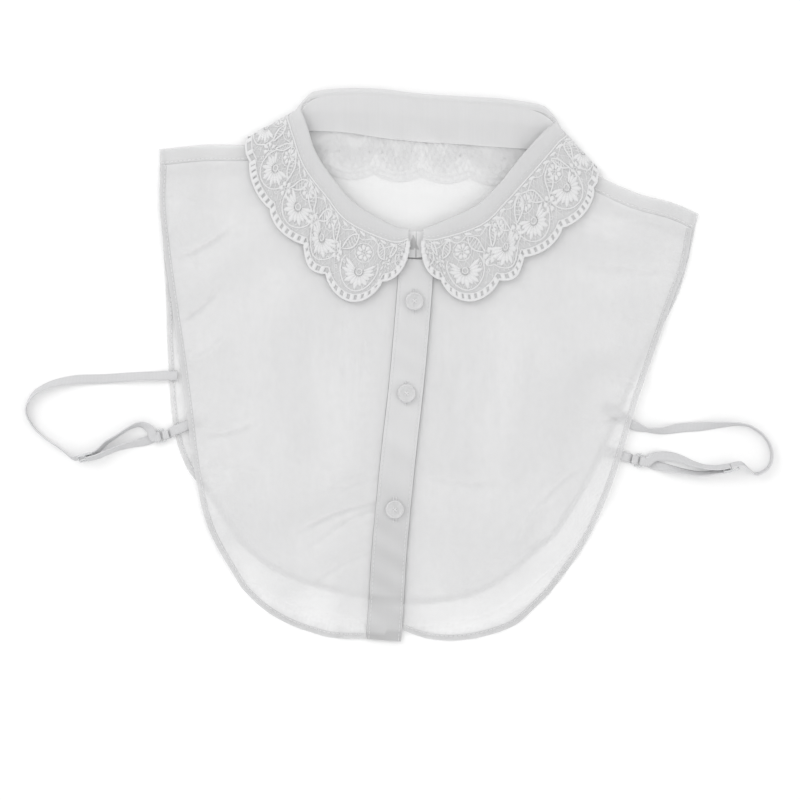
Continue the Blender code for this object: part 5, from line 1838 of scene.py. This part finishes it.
def hardware_pieces(side):
    """The moulded ring and slider of a side."""
    left = side == "left"
    loop = ring_fitting(LEFT_RING if left else RIGHT_RING)
    slide = slider_fitting(LEFT_SLIDER if left else RIGHT_SLIDER)
    ring = Shape()
    path = rounded_loop((RING_ALONG - WIRE) / 2, (RING_ACROSS - WIRE) / 2, CORNER_RADIUS)
    ring.tube([loop.at(p.x, p.y, 0) for p in path], [loop.face] * len(path), WIRE / 2, sides=12,
              flat=1.0, closed=True)
    ring.make(f"plastic_ring_{side}", "plastic", "clear_plastic", ["ring_" + side])
    plate = Shape()
    frame_wide = (SLIDER_ACROSS - SLOT_ACROSS) / 2
    half_long, half_wide = (SLIDER_ALONG - frame_wide) / 2, (SLIDER_ACROSS - frame_wide) / 2
    path = rounded_loop(half_long, half_wide, CORNER_RADIUS)
    plate.tube([slide.at(p.x, p.y, 0) for p in path], [slide.face] * len(path),
               frame_wide / 2 * 1.1, sides=12, flat=SLIDER_THICK / frame_wide / 1.1, closed=True)
    bar = [slide.at(0, between(-1, 1, share) * half_wide, 0) for share in even(6)]
    plate.tube(bar, [slide.face] * len(bar), SLIDER_BAR / 2, sides=12,
               flat=SLIDER_THICK / SLIDER_BAR)
    plate.make(f"plastic_slider_{side}", "plastic", "clear_plastic", ["slider_" + side])


def stage_pieces(look):
    """The pale floor, the camera straight above and the soft light."""
    mesh = bpy.data.meshes.new("floor")
    half = FLOOR_HALF
    corners = [(-half, -half, 0), (half, -half, 0), (half, half, 0), (-half, half, 0)]
    mesh.from_pydata(corners, [], [(0, 1, 2, 3)])
    floor = bpy.data.objects.new("floor", mesh)
    floor.location.z = -FLOOR_DROP
    mesh.materials.append(Finishes.get("floor"))
    bpy.context.scene.collection.objects.link(floor)
    camera = bpy.data.cameras.new("camera")
    camera.lens = look.lens
    camera.sensor_width = SENSOR_WIDTH
    camera.dof.use_dof = False
    eye = bpy.data.objects.new("camera", camera)
    eye.location = (look.view_x, look.view_y, look.view_width * look.lens / SENSOR_WIDTH)
    bpy.context.scene.collection.objects.link(eye)
    bpy.context.scene.camera = eye
    world = bpy.data.worlds.new("studio")
    world.use_nodes = True
    backdrop = world.node_tree.nodes["Background"]
    backdrop.inputs["Color"].default_value = (1.0, 1.0, 1.0, 1.0)
    backdrop.inputs["Strength"].default_value = look.dome_strength
    bpy.context.scene.world = world
    for name, x, y, z, share, size in LIGHTS:
        light = bpy.data.lights.new(name, "AREA")
        light.energy = look.key_power * share
        light.size = size
        lamp = bpy.data.objects.new(name, light)
        lamp.location = (x, y, z)
        lamp.rotation_euler = (-Vector((x, y, z))).to_track_quat("-Z", "Y").to_euler()
        bpy.context.scene.collection.objects.link(lamp)
    bpy.context.scene.view_settings.view_transform = "Standard"
    bpy.context.scene.view_settings.look = "None"


class CollarLook(bpy.types.PropertyGroup):
    """Colours, cover of the cloth and the stage."""

    cloth_colour: bpy.props.FloatVectorProperty(
        name="Cloth colour", description="Colour of the sheer cloth", subtype="COLOR", size=3,
        min=0, max=1, default=(0.853, 0.853, 0.858))
    leaf_colour: bpy.props.FloatVectorProperty(
        name="Leaf colour", description="Colour of the leaf's plain cloth beside the lace",
        subtype="COLOR", size=3, min=0, max=1, default=(0.70, 0.70, 0.705))
    thread_colour: bpy.props.FloatVectorProperty(
        name="Thread colour", description="Colour of the lace and sewing thread", subtype="COLOR",
        size=3, min=0, max=1, default=(0.78, 0.78, 0.785))
    elastic_colour: bpy.props.FloatVectorProperty(
        name="Elastic colour", description="Colour of the elastic", subtype="COLOR", size=3,
        min=0, max=1, default=(0.74, 0.74, 0.75))
    plastic_colour: bpy.props.FloatVectorProperty(
        name="Plastic colour", description="Colour of the rings and sliders", subtype="COLOR",
        size=3, min=0, max=1, default=(0.8, 0.81, 0.82))
    button_colour: bpy.props.FloatVectorProperty(
        name="Button colour", description="Colour of the buttons", subtype="COLOR", size=3,
        min=0, max=1, default=(0.8, 0.8, 0.805))
    floor_colour: bpy.props.FloatVectorProperty(
        name="Floor colour", description="Colour of the floor", subtype="COLOR", size=3,
        min=0, max=1, default=(0.95, 0.95, 0.95))
    doubled_colour: bpy.props.FloatVectorProperty(
        name="Doubled cloth colour", description="Colour of the cloth where it is folded double",
        subtype="COLOR", size=3, min=0, max=1, default=(0.77, 0.77, 0.775))
    inner_hem_cover: bpy.props.FloatProperty(
        name="Inner hem cover", description="How much the back's hem and the seam edges hide",
        subtype="FACTOR", min=0, max=1, default=0.4)
    back_cover: bpy.props.FloatProperty(
        name="Back cover", description="How much the back's single layer of cloth hides",
        subtype="FACTOR", min=0, max=1, default=0.4)
    layer_cover: bpy.props.FloatProperty(
        name="Layer cover", description="How much the front's single layer of cloth hides",
        subtype="FACTOR", min=0, max=1, default=0.62)
    hem_cover: bpy.props.FloatProperty(
        name="Hem cover", description="How much a folded hem hides", subtype="FACTOR", min=0,
        max=1, default=0.62)
    strip_cover: bpy.props.FloatProperty(
        name="Strip cover", description="How much each face of a folded strip hides",
        subtype="FACTOR", min=0, max=1, default=0.8)
    stand_cover: bpy.props.FloatProperty(
        name="Stand cover", description="How much the neck band hides", subtype="FACTOR", min=0,
        max=1, default=0.75)
    leaf_cover: bpy.props.FloatProperty(
        name="Leaf cover", description="How much the leaf's plain cloth hides", subtype="FACTOR",
        min=0, max=1, default=0.85)
    net_cover: bpy.props.FloatProperty(
        name="Net cover", description="How much the lace's ground hides", subtype="FACTOR", min=0,
        max=1, default=0.7)
    lens: bpy.props.FloatProperty(
        name="Lens", description="Focal length of the camera", subtype="DISTANCE_CAMERA",
        min=10, max=200, default=85.0)
    view_width: bpy.props.FloatProperty(
        name="View width", description="Width of floor that the camera sees", subtype="DISTANCE",
        unit="LENGTH", min=0.1, max=2, default=0.52)
    view_x: bpy.props.FloatProperty(
        name="View x", description="Camera's place to the right", subtype="DISTANCE",
        unit="LENGTH", default=0.001)
    view_y: bpy.props.FloatProperty(
        name="View y", description="Camera's place towards the neck", subtype="DISTANCE",
        unit="LENGTH", default=-0.02275)
    dome_strength: bpy.props.FloatProperty(
        name="Dome strength", description="Strength of the light from all round", min=0, max=4,
        default=0.97)
    key_power: bpy.props.FloatProperty(
        name="Key power", description="Power of the soft light from the left", subtype="POWER",
        unit="POWER", min=0, max=500, default=12.0)


class MakeBack(bpy.types.Operator):
    """Makes the back with its turned shoulders, hem and stitches"""

    bl_idname = "false_collar.make_back"
    bl_label = "Back"

    def execute(self, context):
        back_pieces()
        return {"FINISHED"}


class MakeFronts(bpy.types.Operator):
    """Makes the two fronts with their hems and stitches"""

    bl_idname = "false_collar.make_fronts"
    bl_label = "Fronts"

    def execute(self, context):
        rest = FrontRest()
        front_left_pieces(rest)
        front_right_pieces(rest)
        return {"FINISHED"}


class MakeClosing(bpy.types.Operator):
    """Makes the placket, the button stand and the buttonholes"""

    bl_idname = "false_collar.make_closing"
    bl_label = "Placket and button stand"

    def execute(self, context):
        closing_pieces(FrontRest())
        return {"FINISHED"}


class MakeButtons(bpy.types.Operator):
    """Makes the buttons and their thread"""

    bl_idname = "false_collar.make_buttons"
    bl_label = "Buttons"

    def execute(self, context):
        button_pieces(FrontRest())
        return {"FINISHED"}


class MakeCollar(bpy.types.Operator):
    """Makes the neck band, the leaf and the lace on both halves"""

    bl_idname = "false_collar.make_collar"
    bl_label = "Collar and lace"

    def execute(self, context):
        for side in ("left", "right"):
            collar_pieces(side)
        return {"FINISHED"}


class MakeStraps(bpy.types.Operator):
    """Makes the elastic straps and tabs of both sides"""

    bl_idname = "false_collar.make_straps"
    bl_label = "Elastic straps"

    def execute(self, context):
        for side in ("left", "right"):
            strap_pieces(side)
        return {"FINISHED"}


class MakeHardware(bpy.types.Operator):
    """Makes the rings and sliders"""

    bl_idname = "false_collar.make_hardware"
    bl_label = "Rings and sliders"

    def execute(self, context):
        for side in ("left", "right"):
            hardware_pieces(side)
        return {"FINISHED"}


class MakeStage(bpy.types.Operator):
    """Makes the floor, the camera and the lights"""

    bl_idname = "false_collar.make_stage"
    bl_label = "Stage"

    def execute(self, context):
        stage_pieces(context.scene.collar_look)
        return {"FINISHED"}


OPERATORS = [MakeBack, MakeFronts, MakeClosing, MakeButtons, MakeCollar, MakeStraps, MakeHardware,
             MakeStage]


class CollarPanel(bpy.types.Panel):
    """Lists the settings and the steps"""

    bl_idname = "VIEW3D_PT_false_collar"
    bl_label = "False Collar"
    bl_space_type = "VIEW_3D"
    bl_region_type = "UI"
    bl_category = "False Collar"

    def draw(self, context):
        look = context.scene.collar_look
        for name in look.bl_rna.properties.keys():
            if name not in ("rna_type", "name"):
                self.layout.prop(look, name)
        for operator in OPERATORS:
            self.layout.operator(operator.bl_idname)


CLASSES = [CollarLook, *OPERATORS, CollarPanel]


def register():
    for item in CLASSES:
        bpy.utils.register_class(item)
    bpy.types.Scene.collar_look = bpy.props.PointerProperty(type=CollarLook)


def unregister():
    del bpy.types.Scene.collar_look
    for item in reversed(CLASSES):
        bpy.utils.unregister_class(item)


def main():
    register()
    for operator in OPERATORS:
        area, name = operator.bl_idname.split(".")
        getattr(getattr(bpy.ops, area), name)()
    bpy.context.view_layer.update()


if __name__ == "__main__":
    main()
